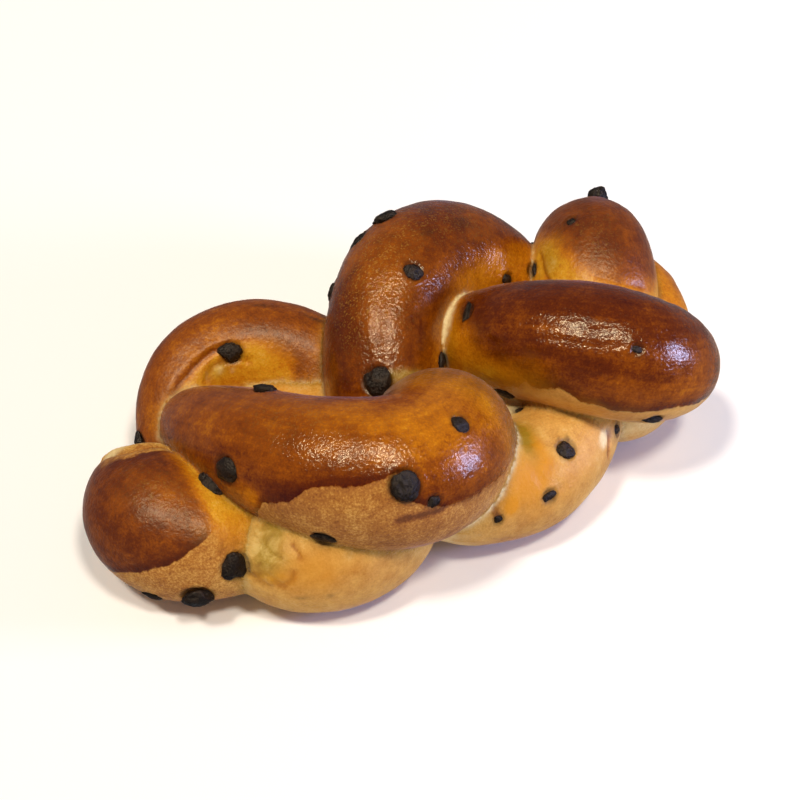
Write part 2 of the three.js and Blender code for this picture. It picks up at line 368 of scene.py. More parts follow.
@dataclass(frozen=True)
class Fold:
    """A fold, crack or seam of the skin along a line on one lobe.

    Attributes:
        points: share of the run and degrees from the top of each of its points.
        width: half its width in mm.
        depth: how deep it is in mm, or below 0 how proud.
        brown: how much darker it baked.
    """

    points: tuple[tuple[float, float], ...]
    width: float
    depth: float
    brown: float


FOLDS: dict[str, tuple[Fold, ...]] = {
    "backLeft": (
        Fold(((0.18, -8), (0.283, -31), (0.359, -38), (0.447, -42), (0.5, -42)), 1.0, 1.0, 0.26),
        Fold(((0.2, -2), (0.3, -22), (0.38, -29), (0.46, -33)), 1.6, -0.5, 0.0),
        Fold(((0.3, -60), (0.4, -58), (0.5, -64), (0.6, -68)), 1.4, 0.9, 0.08),
    ),
    "leftBall": (
        Fold(((-0.06, -36), (0.0, -20), (0.09, -2), (0.1, 17), (0.1, 45)), 1.0, 0.7, 0.1),
        Fold(((-0.1, -32), (-0.04, -16), (0.03, 0), (0.04, 17), (0.04, 45)), 1.6, -0.9, -0.2),
    ),
    "rightRoll": (
        Fold(((0.42, -36), (0.47, -30), (0.53, -33), (0.58, -28)), 1.1, 0.25, 0.05),
        Fold(((0.44, -48), (0.5, -44), (0.57, -46), (0.64, -40)), 1.1, 0.25, 0.05),
        Fold(((0.4, -60), (0.47, -58), (0.54, -60), (0.6, -57)), 1.0, 0.25, 0.05),
        Fold(((0.6, -34), (0.67, -31), (0.74, -26)), 0.9, 0.15, 0.03),
        Fold(((0.56, -68), (0.66, -70), (0.76, -66)), 0.9, 0.2, 0.05),
        Fold(((0.35, -48), (0.37, -50)), 1.5, -0.7, 0.0),
    ),
    "frontTurn": (
        Fold(((0.36, -8), (0.42, -12), (0.47, -22), (0.49, -34)), 1.0, 0.5, 0.1),
        Fold(((0.735, -58), (0.72, -66), (0.695, -74), (0.69, -80)), 0.8, 0.9, 0.4),
        Fold(((0.3, -10), (0.34, -34), (0.36, -52)), 1.2, 0.4, 0.04),
        Fold(((0.165, -56), (0.175, -64), (0.19, -74)), 1.0, 0.2, 0.55),
    ),
    "frontRoll": (
        Fold(((0.778, -78), (0.742, -79), (0.708, -80)), 1.1, 0.2, 0.5),
    ),
    "leftTurn": (
        Fold(((0.29, -58), (0.285, -66), (0.255, -76), (0.215, -66), (0.16, -70)), 0.8, 0.6, 0.42),
        Fold(((0.29, -32), (0.305, -38), (0.31, -45)), 0.7, 0.5, 0.45),
        Fold(((0.27, -22), (0.26, -40), (0.28, -56)), 0.9, -0.5, 0.0),
        Fold(((0.16, -30), (0.22, -42), (0.27, -50)), 0.9, 0.6, 0.08),
        Fold(((0.1, -64), (0.16, -74), (0.22, -80)), 0.9, 0.7, 0.14),
    ),
    "backArch": (
        Fold(((0.1, -50), (0.14, -30), (0.145, -10), (0.14, 12)), 1.1, 0.7, 0.1),
        Fold(((0.2, 6), (0.255, 10), (0.3, 8)), 0.7, -0.35, -0.05),
    ),
    "rightKnob": (
        Fold(((0.56, 62), (0.45, 58), (0.37, 50)), 0.9, 0.9, 0.22),
        Fold(((0.38, 4), (0.36, -12), (0.35, -28), (0.36, -44)), 1.0, 0.6, 0.08),
    ),
}


def lattice(points: Array, size: float, seed: int) -> Array:
    """Smooth noise from a seeded lattice.

    Args:
        points: places, one row each, in mm.
        size: width of one cell of the lattice in mm.
        seed: which lattice.

    Returns:
        A value from -1 to 1 for each place.
    """
    spread = points / size + 31.7 * (seed + 1)
    cell = np.floor(spread).astype(np.int64)
    inside = spread - cell
    inside = inside * inside * (3.0 - 2.0 * inside)
    total = np.zeros(len(points))
    for corner in itertools.product((0, 1), repeat=3):
        at = cell + np.array(corner)
        code = (at[:, 0] * 73856093) ^ (at[:, 1] * 19349663) ^ (at[:, 2] * 83492791) ^ (seed * 2654435)
        code = code & 0xFFFFFF
        code = (code ^ (code >> 11)) * 1274126177 & 0xFFFFFFFF
        code = (code ^ (code >> 15)) * 668265263 & 0xFFFFFFFF
        value = ((code >> 8) & 0xFFFF) / 32767.5 - 1.0
        weight = np.prod(np.where(np.array(corner) == 1, inside, 1.0 - inside), axis=1)
        total += weight * value
    return total


def layered(points: Array, size: float, seed: int, layers: int = 3) -> Array:
    """Noise of several sizes, each half as wide and half as strong as the one before it.

    Args:
        points: places, one row each, in mm.
        size: width of the widest cells in mm.
        seed: which noise.
        layers: how many sizes.

    Returns:
        A value of about -1 to 1 for each place.
    """
    total = np.zeros(len(points))
    for layer in range(layers):
        total += lattice(points, size / 2**layer, seed + 7 * layer) / 2**layer
    return total / 1.6


@dataclass(frozen=True)
class Unevenness:
    """One layered noise of the skin: width of its widest cells in mm, its seed and how many sizes it has."""

    size: float
    seed: int
    layers: int = 2

    def at(self, points: Array) -> Array:
        """The noise at places, about -1 to 1."""
        return layered(points, self.size, self.seed, self.layers)


SWELLS = Unevenness(34.0, 3, 3)
DENTS = Unevenness(9.0, 11, 3)
WRINKLES = Unevenness(1.0, 21)
TONE_WAVER = Unevenness(14.0, 41, 3)
CREASE_WAVER = Unevenness(7.0, 51)
FOLD_WAVER = Unevenness(5.0, 61)
SHREDS = Unevenness(3.6, 71)
PATCH_WAVER = Unevenness(6.0, 81)
TEARS = Unevenness(4.0, 91)


def eased(values: Array, low: float, high: float) -> Array:
    """Smooth step from 0 at low to 1 at high."""
    share = np.clip((values - low) / (high - low), 0.0, 1.0)
    return share * share * (3.0 - 2.0 * share)


def unit(vectors: Array) -> Array:
    """Vectors of length 1."""
    return vectors / np.maximum(np.linalg.norm(vectors, axis=-1, keepdims=True), 1e-9)


@dataclass(frozen=True)
class Sweep:
    """Balls of changing girth along one bent line.

    Attributes:
        line: the four points that bend it, in mm.
        girth: its girth at the start, in the middle and at the end, in mm.
    """

    line: Array
    girth: Triple

    def at(self, share: Array) -> Array:
        """Points of the line.

        Args:
            share: shares of the run.

        Returns:
            One point in mm for each share.
        """
        s = np.asarray(share, float)[..., None]
        a, b, c, d = self.line
        return (1 - s) ** 3 * a + 3 * s * (1 - s) ** 2 * b + 3 * s * s * (1 - s) * c + s**3 * d

    def slope(self, share: Array) -> Array:
        """First derivative of the line.

        Args:
            share: shares of the run.

        Returns:
            One vector for each share.
        """
        s = np.asarray(share, float)[..., None]
        a, b, c, d = self.line
        return 3 * ((1 - s) ** 2 * (b - a) + 2 * s * (1 - s) * (c - b) + s * s * (d - c))

    def bend(self, share: Array) -> Array:
        """Second derivative of the line.

        Args:
            share: shares of the run.

        Returns:
            One vector for each share.
        """
        s = np.asarray(share, float)[..., None]
        a, b, c, d = self.line
        return 6 * ((1 - s) * (c - 2 * b + a) + s * (d - 2 * c + b))

    def girth_at(self, share: Array) -> Array:
        """Girth along the run.

        Args:
            share: shares of the run.

        Returns:
            The girth in mm for each share.
        """
        s = np.asarray(share, float)
        start, middle, end = self.girth
        return start * (1 - s) * (1 - 2 * s) + middle * 4 * s * (1 - s) + end * s * (2 * s - 1)

    def girth_slope(self, share: Array) -> Array:
        """First derivative of the girth.

        Args:
            share: shares of the run.

        Returns:
            One number for each share.
        """
        s = np.asarray(share, float)
        start, middle, end = self.girth
        return start * (4 * s - 3) + middle * (4 - 8 * s) + end * (4 * s - 1)

    def length(self) -> float:
        """Length of the line in mm."""
        points = self.at(np.linspace(0.0, 1.0, 65))
        return float(np.linalg.norm(np.diff(points, axis=0), axis=1).sum())

    def out(self, share: float, angle: float) -> Array:
        """Direction square to the skin, which leans where the girth changes.

        Args:
            share: share of the run.
            angle: degrees from the top, + to the left of the run.

        Returns:
            The direction.
        """
        run, left, top = self.axes(np.array(share))
        lean = -float(self.girth_slope(share)) / float(np.linalg.norm(self.slope(share)))
        turn = math.radians(angle)
        level = math.sqrt(max(1.0 - lean * lean, 0.0))
        return run * lean + (top * math.cos(turn) + left * math.sin(turn)) * level

    def unrolled(self, share: float, angle: float) -> Array:
        """Mm along and around the lobe of a place on its skin.

        Args:
            share: share of the run of the ball that it is on.
            angle: degrees from the top.

        Returns:
            The two, as the skin's own places give them.
        """
        girth = float(self.girth_at(share))
        lean = -float(self.girth_slope(share)) / float(np.linalg.norm(self.slope(share)))
        return np.array([share * self.length() + girth * lean, math.radians(angle) * girth])

    def axes(self, share: Array) -> tuple[Array, Array, Array]:
        """Directions square to one another along the run.

        Args:
            share: shares of the run.

        Returns:
            The directions along the line, to its left and up from it.
        """
        run = unit(self.slope(share))
        left = unit(np.cross(np.array([0.0, 0.0, 1.0]), run))
        return run, left, np.cross(run, left)

    def reach(self, points: Array) -> tuple[Array, Array, Array]:
        """How far places are from the sweep.

        Args:
            points: places, one row each, in mm.

        Returns:
            Signed distance, share of the run of the nearest ball, and the direction out of it.
        """
        distance = np.full(len(points), FAR)
        share = np.zeros(len(points))
        outward = np.zeros((len(points), 3))
        margin = max(self.girth) + NEAR_ENOUGH
        close = np.all(
            (points > self.line.min(axis=0) - margin) & (points < self.line.max(axis=0) + margin), axis=1
        )
        if not close.any():
            return distance, share, outward
        near = points[close]
        steps = np.linspace(0.0, 1.0, 25)
        balls = self.at(steps)
        gap = np.sqrt(((near[:, None, :] - balls[None]) ** 2).sum(axis=2)) - self.girth_at(steps)[None]
        found = steps[np.argmin(gap, axis=1)]
        for _ in range(5):
            away = near - self.at(found)
            size = np.maximum(np.linalg.norm(away, axis=1), 1e-6)
            slope = self.slope(found)
            along = (away * slope).sum(axis=1)
            first = -along / size - self.girth_slope(found)
            second = ((slope * slope).sum(axis=1) - (away * self.bend(found)).sum(axis=1)) / size
            second -= along**2 / size**3
            step = np.where(second > 1e-3, first / np.maximum(second, 1e-3), np.sign(first) * 0.02)
            found = np.clip(found - np.clip(step, -0.05, 0.05), 0.0, 1.0)
        away = near - self.at(found)
        size = np.maximum(np.linalg.norm(away, axis=1), 1e-6)
        distance[close] = size - self.girth_at(found)
        share[close] = found
        outward[close] = away / size[:, None]
        return distance, share, outward


def named_sweep(name: str, height: float = 1.0, reach: float = 1.0, girth: float = 1.0) -> Sweep:
    """The sweep of a named length of rope.

    Args:
        name: the length of rope.
        height: share of its height, for a level that seats it.
        reach: share of its reach from the middle of the loaf.
        girth: share of its girth.

    Returns:
        The sweep in the part's frame.
    """
    scale = np.array([HALF_LENGTH, HALF_WIDTH * reach, LOBE_HEIGHT * height])
    line = np.array(BENDS[name]) * scale + FRAME_SHIFT
    start, middle, end = (share * ROPE_GIRTH * girth for share in GIRTHS[name])
    return Sweep(line, (start, middle, end))


@dataclass(frozen=True)
class Lobe:
    """One length of rope that shows, with the levels that seat it."""

    name: str
    main: Sweep
    filling: tuple[Sweep, ...] = ()

    @classmethod
    def of(cls, name: str) -> "Lobe":
        """The lobe of a named length of rope."""
        levels = SEAT_LEVELS if name in SEATED else ()
        return cls(name, named_sweep(name), tuple(named_sweep(name, *level) for level in levels))

    def distance(self, points: Array) -> tuple[Array, Array]:
        """How far places are from the lobe with its seat.

        Args:
            points: places, one row each, in mm.

        Returns:
            Signed distances in mm and directions out of the lobe.
        """
        total, _, out = self.main.reach(points)
        for level in self.filling:
            gap, _, away = level.reach(points)
            total, out = joined(total, out, gap, away, FILLING_BLEND)
        return total, out


def joined(
    first: Array, first_out: Array, second: Array, second_out: Array, blend: float
) -> tuple[Array, Array]:
    """Smooth union of two forms.

    Args:
        first: distances to the first form.
        first_out: directions out of the first form.
        second: distances to the second form.
        second_out: directions out of the second form.
        blend: how far the two round into each other in mm.

    Returns:
        Distance and direction for both together.
    """
    share = np.clip(0.5 + 0.5 * (second - first) / blend, 0.0, 1.0)
    total = second * (1 - share) + first * share - blend * share * (1 - share)
    return total, second_out * (1 - share)[:, None] + first_out * share[:, None]


@dataclass
class Place:
    """Where each vertex of the crust lies on the loaf.

    Attributes:
        lobe: number of the lobe that it is on.
        share: share of the lobe's run.
        angle: degrees from the lobe's top, + to the left of its run.
        run: mm along the lobe.
        around: mm around the lobe from its top.
        crease: mm to the next lobe.
        beside: number of that next lobe.
    """

    lobe: Array
    share: Array
    angle: Array
    run: Array
    around: Array
    crease: Array
    beside: Array


@dataclass
class Dough:
    """The three plaited ropes as one form."""

    lobes: list[Lobe] = field(default_factory=list)
    core: list[Sweep] = field(default_factory=list)

    @classmethod
    def plaited(cls) -> "Dough":
        """The ropes, the hidden runs between their lengths and the heart below them.

        Returns:
            The dough of the whole loaf.
        """
        dough = cls([Lobe.of(name) for rope in ROPES for name in rope])
        dough.core = [named_sweep(name) for name in HEART]
        for rope in ROPES:
            for name, following in itertools.pairwise(rope):
                before, after = named_sweep(name), named_sweep(following)
                start, end = before.at(1.0), after.at(0.0)
                line = np.array([start + (end - start) * share for share in (0.0, 1 / 3, 2 / 3, 1.0)])
                girths = before.girth[2] * HIDDEN_GIRTH, after.girth[0] * HIDDEN_GIRTH
                dough.core.append(Sweep(line, (girths[0], sum(girths) / 2, girths[1])))
        return dough

    def sweeps(self) -> list[Sweep]:
        """Every sweep of the loaf."""
        return [s for lobe in self.lobes for s in (lobe.main, *lobe.filling)] + self.core

    def lobe_gaps(self, points: Array) -> list[tuple[Array, Array]]:
        """How far places are from each lobe and from the core.

        Args:
            points: places, one row each, in mm.

        Returns:
            Distances and directions for each lobe, and last for the core.
        """
        gaps = [lobe.distance(points) for lobe in self.lobes]
        total, _, out = self.core[0].reach(points)
        for sweep in self.core[1:]:
            gap, _, away = sweep.reach(points)
            total, out = joined(total, out, gap, away, FILLING_BLEND)
        return [*gaps, (total, out)]

    def skin(self, points: Array) -> tuple[Array, Array]:
        """Signed distance of places to the loaf's skin and the direction out of it.

        Args:
            points: places, one row each, in mm.

        Returns:
            Distances in mm and directions.
        """
        gaps = self.lobe_gaps(points)
        total, out = gaps[0]
        for gap, away in gaps[1:]:
            total, out = joined(total, out, gap, away, CREASE_BLEND)
        down = np.tile(np.array([0.0, 0.0, -1.0]), (len(points), 1))
        total, out = joined(-total, out, points[:, 2], down, HEEL_BLEND)
        return -total, unit(out)

    def place(self, points: Array) -> Place:
        """Where places on the skin lie on the loaf.

        Args:
            points: places, one row each, in mm.

        Returns:
            Their lobes and their ways along and around them.
        """
        gaps = np.stack([gap for gap, _ in self.lobe_gaps(points)], axis=1)
        order = np.argsort(gaps, axis=1)
        lobe = order[:, 0]
        beside = order[:, 1]
        crease = np.take_along_axis(gaps, order, axis=1)
        crease = crease[:, 1] - crease[:, 0]
        share = np.zeros(len(points))
        angle = np.zeros(len(points))
        run = np.zeros(len(points))
        around = np.zeros(len(points))
        for number, each in enumerate(self.lobes):
            mine = lobe == number
            if not mine.any():
                continue
            mains = points[mine]
            _, found, _ = each.main.reach(mains)
            away = mains - each.main.at(found)
            forward, left, top = each.main.axes(found)
            turn = np.arctan2((away * left).sum(axis=1), (away * top).sum(axis=1))
            share[mine] = found
            angle[mine] = np.degrees(turn)
            run[mine] = found * each.main.length() + (away * forward).sum(axis=1)
            around[mine] = turn * each.main.girth_at(found)
        return Place(lobe, share, angle, run, around, crease, beside)


@dataclass
class Skin:
    """The loaf's skin as one closed mesh.

    Attributes:
        points: vertices in mm, one row each.
        quads: four vertices of each face.
    """

    points: Array
    quads: Array

    def edges(self) -> Array:
        """The edges of the mesh.

        Returns:
            Pairs of vertices that a face joins, each once.
        """
        turned = np.roll(self.quads, -1, axis=1)
        pairs = np.sort(np.stack([self.quads.ravel(), turned.ravel()], axis=1), axis=1)
        return np.unique(pairs, axis=0)

    def normals(self) -> Array:
        """Normals by the area of the faces round each vertex.

        Returns:
            One direction for each vertex.
        """
        corners = self.points[self.quads]
        across = np.cross(corners[:, 2] - corners[:, 0], corners[:, 3] - corners[:, 1])
        total = np.zeros_like(self.points)
        for axis in range(3):
            for corner in range(4):
                total[:, axis] += np.bincount(self.quads[:, corner], across[:, axis], len(self.points))
        return unit(total)

    def averaged(self, values: Array, edges: Array) -> Array:
        """Mean of the neighbours of each vertex.

        Args:
            values: one row of numbers for each vertex.
            edges: pairs of vertices.

        Returns:
            The mean of the neighbours' values.
        """
        count = np.bincount(edges.ravel(), minlength=len(values)).astype(float)
        result = np.zeros_like(values)
        for column in range(values.shape[1]):
            result[:, column] = np.bincount(edges[:, 0], values[edges[:, 1], column], len(values))
            result[:, column] += np.bincount(edges[:, 1], values[edges[:, 0], column], len(values))
        return result / np.maximum(count, 1.0)[:, None]

    def outermost(self) -> "Skin":
        """Drops the pockets that the ropes close in.

        Returns:
            The largest closed skin alone.
        """
        edges = self.edges()
        label = np.arange(len(self.points))
        while True:
            lower = label.copy()
            np.minimum.at(lower, edges[:, 0], label[edges[:, 1]])
            np.minimum.at(lower, edges[:, 1], label[edges[:, 0]])
            lower = lower[lower]
            if np.array_equal(lower, label):
                break
            label = lower
        names, counts = np.unique(label, return_counts=True)
        keep = label == names[np.argmax(counts)]
        number = np.cumsum(keep) - 1
        return Skin(self.points[keep], number[self.quads[keep[self.quads[:, 0]]]])


class Surface:
    """The node tree of one material or world, built from Python expressions."""

    def __init__(self, tree: bpy.types.NodeTree) -> None:
        """Empties a node tree.

        Args:
            tree: the tree to build in.
        """
        self.tree = tree
        tree.nodes.clear()

    def add(self, kind: str, settings: dict[str, Any], sockets: dict[Any, Any], output: Any = 0) -> "Wire":
        """Adds one node.

        Args:
            kind: the node's type.
            settings: what is set on the node itself; "stops" are the stops of a ramp.
            sockets: a value or a wire for each input, by name or number.
            output: which output the wire starts from.

        Returns:
            A wire from that output.
        """
        node = self.tree.nodes.new(kind)
        for name, value in settings.items():
            if name == "stops":
                self.set_stops(node.color_ramp, value)
            else:
                setattr(node, name, value)
        for name, value in sockets.items():
            if isinstance(value, Wire):
                self.tree.links.new(value.socket, node.inputs[name])
            else:
                node.inputs[name].default_value = value
        return Wire(self, node.outputs[output] if len(node.outputs) else None)

    @staticmethod
    def set_stops(ramp: bpy.types.ColorRamp, stops: tuple[tuple[float, str], ...]) -> None:
        """Gives a ramp its stops.

        Args:
            ramp: the ramp.
            stops: place and colour of each stop.
        """
        while len(ramp.elements) < len(stops):
            ramp.elements.new(1.0)
        for element, (place, colour) in zip(ramp.elements, stops):
            element.position = place
            element.color = shade(colour)

    def measure(self, name: str) -> "Wire":
        """A number that the mesh carries at each vertex."""
        return self.add("ShaderNodeAttribute", {"attribute_name": name}, {}, "Fac")

    def way(self, name: str) -> "Wire":
        """A vector that the mesh carries at each vertex."""
        return self.add("ShaderNodeAttribute", {"attribute_name": name}, {}, "Vector")

    def place(self) -> "Wire":
        """The place on the object in metres."""
        return self.add("ShaderNodeTexCoord", {}, {}, "Object")

    def stretched(self, vector: "Wire", by: Triple) -> "Wire":
        """A vector multiplied by three numbers."""
        return self.add("ShaderNodeVectorMath", {"operation": "MULTIPLY"}, {0: vector, 1: by})

    def noise(
        self, vector: "Wire", scale: float, detail: float = 2.0, rough: float = 0.5, distortion: float = 0.0
    ) -> "Wire":
        """Noise of about 0 to 1.

        Args:
            vector: the place.
            scale: cells per unit of the vector.
            detail: how many finer layers it has.
            rough: how strong those are.
            distortion: how far it is drawn out of place.

        Returns:
            The noise.
        """
        values = (vector, scale, detail, rough, distortion)
        names = ("Vector", "Scale", "Detail", "Roughness", "Distortion")
        return self.add("ShaderNodeTexNoise", {}, dict(zip(names, values)), 0)

    def mixed(self, share: Any, first: Any, second: Any, blend: str = "MIX") -> "Wire":
        """A mix of two colours.

        Args:
            share: how much of the second colour.
            first: the first colour or its wire.
            second: the second colour or its wire.
            blend: the way of mixing.

        Returns:
            The mixed colour.
        """
        settings = {"data_type": "RGBA", "blend_type": blend, "clamp_factor": True}
        return self.add("ShaderNodeMix", settings, {0: share, 6: first, 7: second}, 2)

    def ramp(self, value: "Wire", stops: tuple[tuple[float, str], ...]) -> "Wire":
        """The colour of a ramp at a value."""
        return self.add("ShaderNodeValToRGB", {"stops": stops}, {0: value})

    def bump(self, height: "Wire", distance: float, strength: float, before: "Wire | None" = None) -> "Wire":
        """A normal bent by a height in units of the distance.

        Args:
            height: the height, about 0 to 1.
            distance: how many metres a height of 1 stands for.
            strength: how much of it shows.
            before: a normal to bend further.

        Returns:
            The bent normal.
        """
        sockets: dict[str, Any] = {"Strength": strength, "Distance": distance, "Height": height}
        if before is not None:
            sockets["Normal"] = before
        return self.add("ShaderNodeBump", {}, sockets)

    def finish(self, sockets: dict[str, Any]) -> None:
        """Ends the tree with one principled shader.

        Args:
            sockets: a value or a wire for each input of the shader.
        """
        shader = self.add("ShaderNodeBsdfPrincipled", {}, sockets)
        self.add("ShaderNodeOutputMaterial", {}, {"Surface": shader})


class Wire:
    """An output socket that Python's operators add Math nodes to."""

    def __init__(self, surface: Surface, socket: Any) -> None:
        """Wraps a socket.

        Args:
            surface: the tree that the socket is in.
            socket: the output socket.
        """
        self.surface = surface
        self.socket = socket

    def math(self, operation: str, first: Any, second: Any = 0.0, clamp: bool = False) -> "Wire":
        """Adds a Math node.

        Args:
            operation: what it works out.
            first: the first number or wire.
            second: the second number or wire.
            clamp: keep the result between 0 and 1.

        Returns:
            The result.
        """
        settings = {"operation": operation, "use_clamp": clamp}
        return self.surface.add("ShaderNodeMath", settings, {0: first, 1: second})

    def __add__(self, other: Any) -> "Wire":
        """Sum."""
        return self.math("ADD", self, other)

    def __radd__(self, other: Any) -> "Wire":
        """Sum."""
        return self.math("ADD", other, self)

    def __sub__(self, other: Any) -> "Wire":
        """Difference."""
        return self.math("SUBTRACT", self, other)

    def __rsub__(self, other: Any) -> "Wire":
        """Difference."""
        return self.math("SUBTRACT", other, self)

    def __mul__(self, other: Any) -> "Wire":
        """Product."""
        return self.math("MULTIPLY", self, other)

    def __rmul__(self, other: Any) -> "Wire":
        """Product."""
        return self.math("MULTIPLY", other, self)

    def clamped(self) -> "Wire":
        """The value kept between 0 and 1."""
        return self.math("ADD", self, 0.0, clamp=True)

    def least(self, other: Any) -> "Wire":
        """The smaller of two values."""
        return self.math("MINIMUM", self, other)

    def eased(self, low: float, high: float) -> "Wire":
        """Smooth step from 0 at low to 1 at high."""
        settings = {"interpolation_type": "SMOOTHSTEP"}
        return self.surface.add("ShaderNodeMapRange", settings, {0: self, 1: low, 2: high, 3: 0.0, 4: 1.0})


def new_material(name: str) -> tuple[bpy.types.Material, Surface]:
    """Makes an empty material.

    Args:
        name: its name.

    Returns:
        The material and the surface that its nodes are built on.
    """
    material = bpy.data.materials.new(name)
    material.use_nodes = True
    return material, Surface(material.node_tree)


def shade(colour: str) -> tuple[float, float, float, float]:
    """Linear colour of a written one.

    Args:
        colour: the colour as #rrggbb.

    Returns:
        Red, green and blue from 0 to 1, and 1.0.
    """
    parts = [int(colour[i : i + 2], 16) / 255 for i in (1, 3, 5)]
    linear = [p / 12.92 if p <= 0.04045 else ((p + 0.055) / 1.055) ** 2.4 for p in parts]
    return (linear[0], linear[1], linear[2], 1.0)


@dataclass(frozen=True)
class CrustFinish:
    """Baked crust: glossy egg wash from mahogany to gold, matte bare dough, cream in the creases."""

    washed: tuple[tuple[float, str], ...] = (
        (0.0, "#E8C06A"), (0.20, "#DC9E22"), (0.40, "#BE7008"), (0.60, "#8E4602"), (0.80, "#602401"),
        (1.0, "#440E02"),
    )
    bare: tuple[tuple[float, str], ...] = (
        (0.0, "#E6CB8E"), (0.30, "#D4A04E"), (0.60, "#A86A26"), (0.85, "#86491A"), (1.0, "#6A3612"),
    )
    cream: str = "#E8D09A"
    # Olive of the painted crease shade, and of the dough's green-gold tint
    butter: str = "#93700F"
    honey: str = "#D08812"
    # Gold of the glints painted on pebbled wash
    gold: str = "#C88A30"
    tears: tuple[tuple[float, str], ...] = (
        (0.0, "#D8C07C"), (0.38, "#CDB064"), (0.50, "#A88834"), (0.60, "#8E6E1E"), (0.70, "#7E5A14"),
        (1.0, "#6E4A0C"),
    )
    burnt: str = "#2C1408"
    gleam: tuple[float, float, float, float] = (1.0, 0.91, 0.66, 1.0)
    rim: tuple[float, float, float, float] = (1.0, 0.93, 0.92, 1.0)
    roughness: float = 0.16

    def material(self) -> bpy.types.Material:
        """Builds the crust's material.

        Returns:
            The material.
        """
        material, s = new_material("baked_crust")
        place = s.place()
        grain = s.way("grain")
        wash = s.measure("wash")
        bake = s.measure("bake")
        pale = s.measure("pale")
        dark = s.measure("dark")
        torn = s.measure("torn")

        blotch = s.noise(place, 55.0, 3.0, 0.6)
        mottle = s.noise(place, 150.0, 3.0, 0.6)
        fine = s.noise(place, 420.0, 3.0, 0.65)
        speck = s.noise(place, 1300.0, 2.0, 0.7)
        streak = s.noise(s.stretched(grain, (0.035, 0.42, 1.0)), 1.0, 3.0, 0.6)

        ragged = wash + (blotch - 0.5) * 6.0 + (mottle - 0.5) * 3.0 + (fine - 0.5) * 1.6
        on = (ragged * s.measure("sharp")).eased(-0.45, 0.45)
        pooled = ragged.eased(0.0, 0.6) * (1.0 - ragged.eased(1.0, 5.0)) * s.measure("sharp")

        level = bake + (blotch - 0.5) * 0.24 + (mottle - 0.5) * 0.34 + (fine - 0.5) * 0.30
        level = level + (speck - 0.5) * 0.34 + (streak - 0.5) * s.measure("streaks") * 1.6 + pooled * 0.18
        washed = s.ramp(level.clamped(), self.washed)
        coarse = s.measure("coarse")
        toasted = s.measure("toast") + ((fine - 0.5) * 0.45 + (speck - 0.5) * 0.9) * coarse
        toasted = toasted + (blotch - 0.5) * 0.35 + (mottle - 0.5) * 0.45
        bare = s.ramp(toasted.clamped(), self.bare)
        colour = s.mixed(on, bare, washed)
        # Gold flecks painted on the pebbled wash: painted glints
        fleck = s.measure("fleck") * on
        painted_glints = (speck * 0.7 + fine * 0.3).eased(0.50, 0.66) * fleck * 0.7
        colour = s.mixed(painted_glints.clamped(), colour, shade(self.gold))
        colour = s.mixed((s.measure("honey") * (0.5 + blotch)).clamped(), colour, shade(self.honey))
        freckle = (speck * 0.6 + fine * 0.4).eased(0.60, 0.74) * 0.30 * coarse
        colour = s.mixed(freckle, colour, shade(self.burnt))
        # Olive painted into the creases: painted crease shade, partly the dough's own tint
        colour = s.mixed((s.measure("butter") * (0.4 + fine * 1.2)).clamped(), colour, shade(self.butter))
        tear = s.noise(place, 150.0, 4.0, 0.6, 0.5)
        colour = s.mixed((s.measure("shreds") * 1.2).clamped(), colour, s.ramp(tear, self.tears))
        flour = pale + (mottle * 0.5 + fine * 0.5 - 0.5) * (pale * 3.0).least(1.4)
        colour = s.mixed(flour.eased(0.10, 0.80), colour, shade(self.cream))
        colour = s.mixed((dark * (0.55 + fine * 0.9)).clamped(), colour, shade(self.burnt))

        peel = s.noise(place, 760.0, 2.0, 0.5)
        pores = s.noise(place, 2600.0, 2.0, 0.6)
        wrinkle = s.noise(s.stretched(grain, (0.35, 0.9, 1.0)), 1.0, 2.0, 0.5)
        bumped = s.bump(s.noise(place, 260.0, 2.0, 0.5), 0.0008, 0.12)
        bumped = s.bump(wrinkle * s.measure("streaks"), 0.0007, 1.0, bumped)
        bumped = s.bump(peel * (1.0 + fleck), 0.00024, 1.0, bumped)
        bumped = s.bump(pores, 0.00005, 1.0, bumped)
        bumped = s.bump(s.noise(place, 600.0, 4.0, 0.7) * torn, 0.0015, 0.9, bumped)
        bumped = s.bump(tear * s.measure("shreds"), 0.0014, 1.0, bumped)
        rough = 0.46 + coarse * 0.14
        rough = rough - on * s.measure("gloss") * (rough - self.roughness) + (fine - 0.5) * 0.16 + torn * 0.15
        s.finish(
            {
                "Base Color": colour,
                "Roughness": rough.clamped(),
                "Coat Weight": (on * 0.05).clamped(),
                "Coat Roughness": 0.22,
                "Coat IOR": 1.4,
                "Specular IOR Level": 0.46,
                "Specular Tint": self.gleam,
                "Sheen Weight": 0.22,
                "Sheen Roughness": 0.22,
                "Sheen Tint": self.rim,
                "Subsurface Weight": 0.06,
                "Subsurface Radius": (0.004, 0.0018, 0.0008),
                "Subsurface Scale": 1.0,
                "Normal": bumped,
            }
        )
        return material


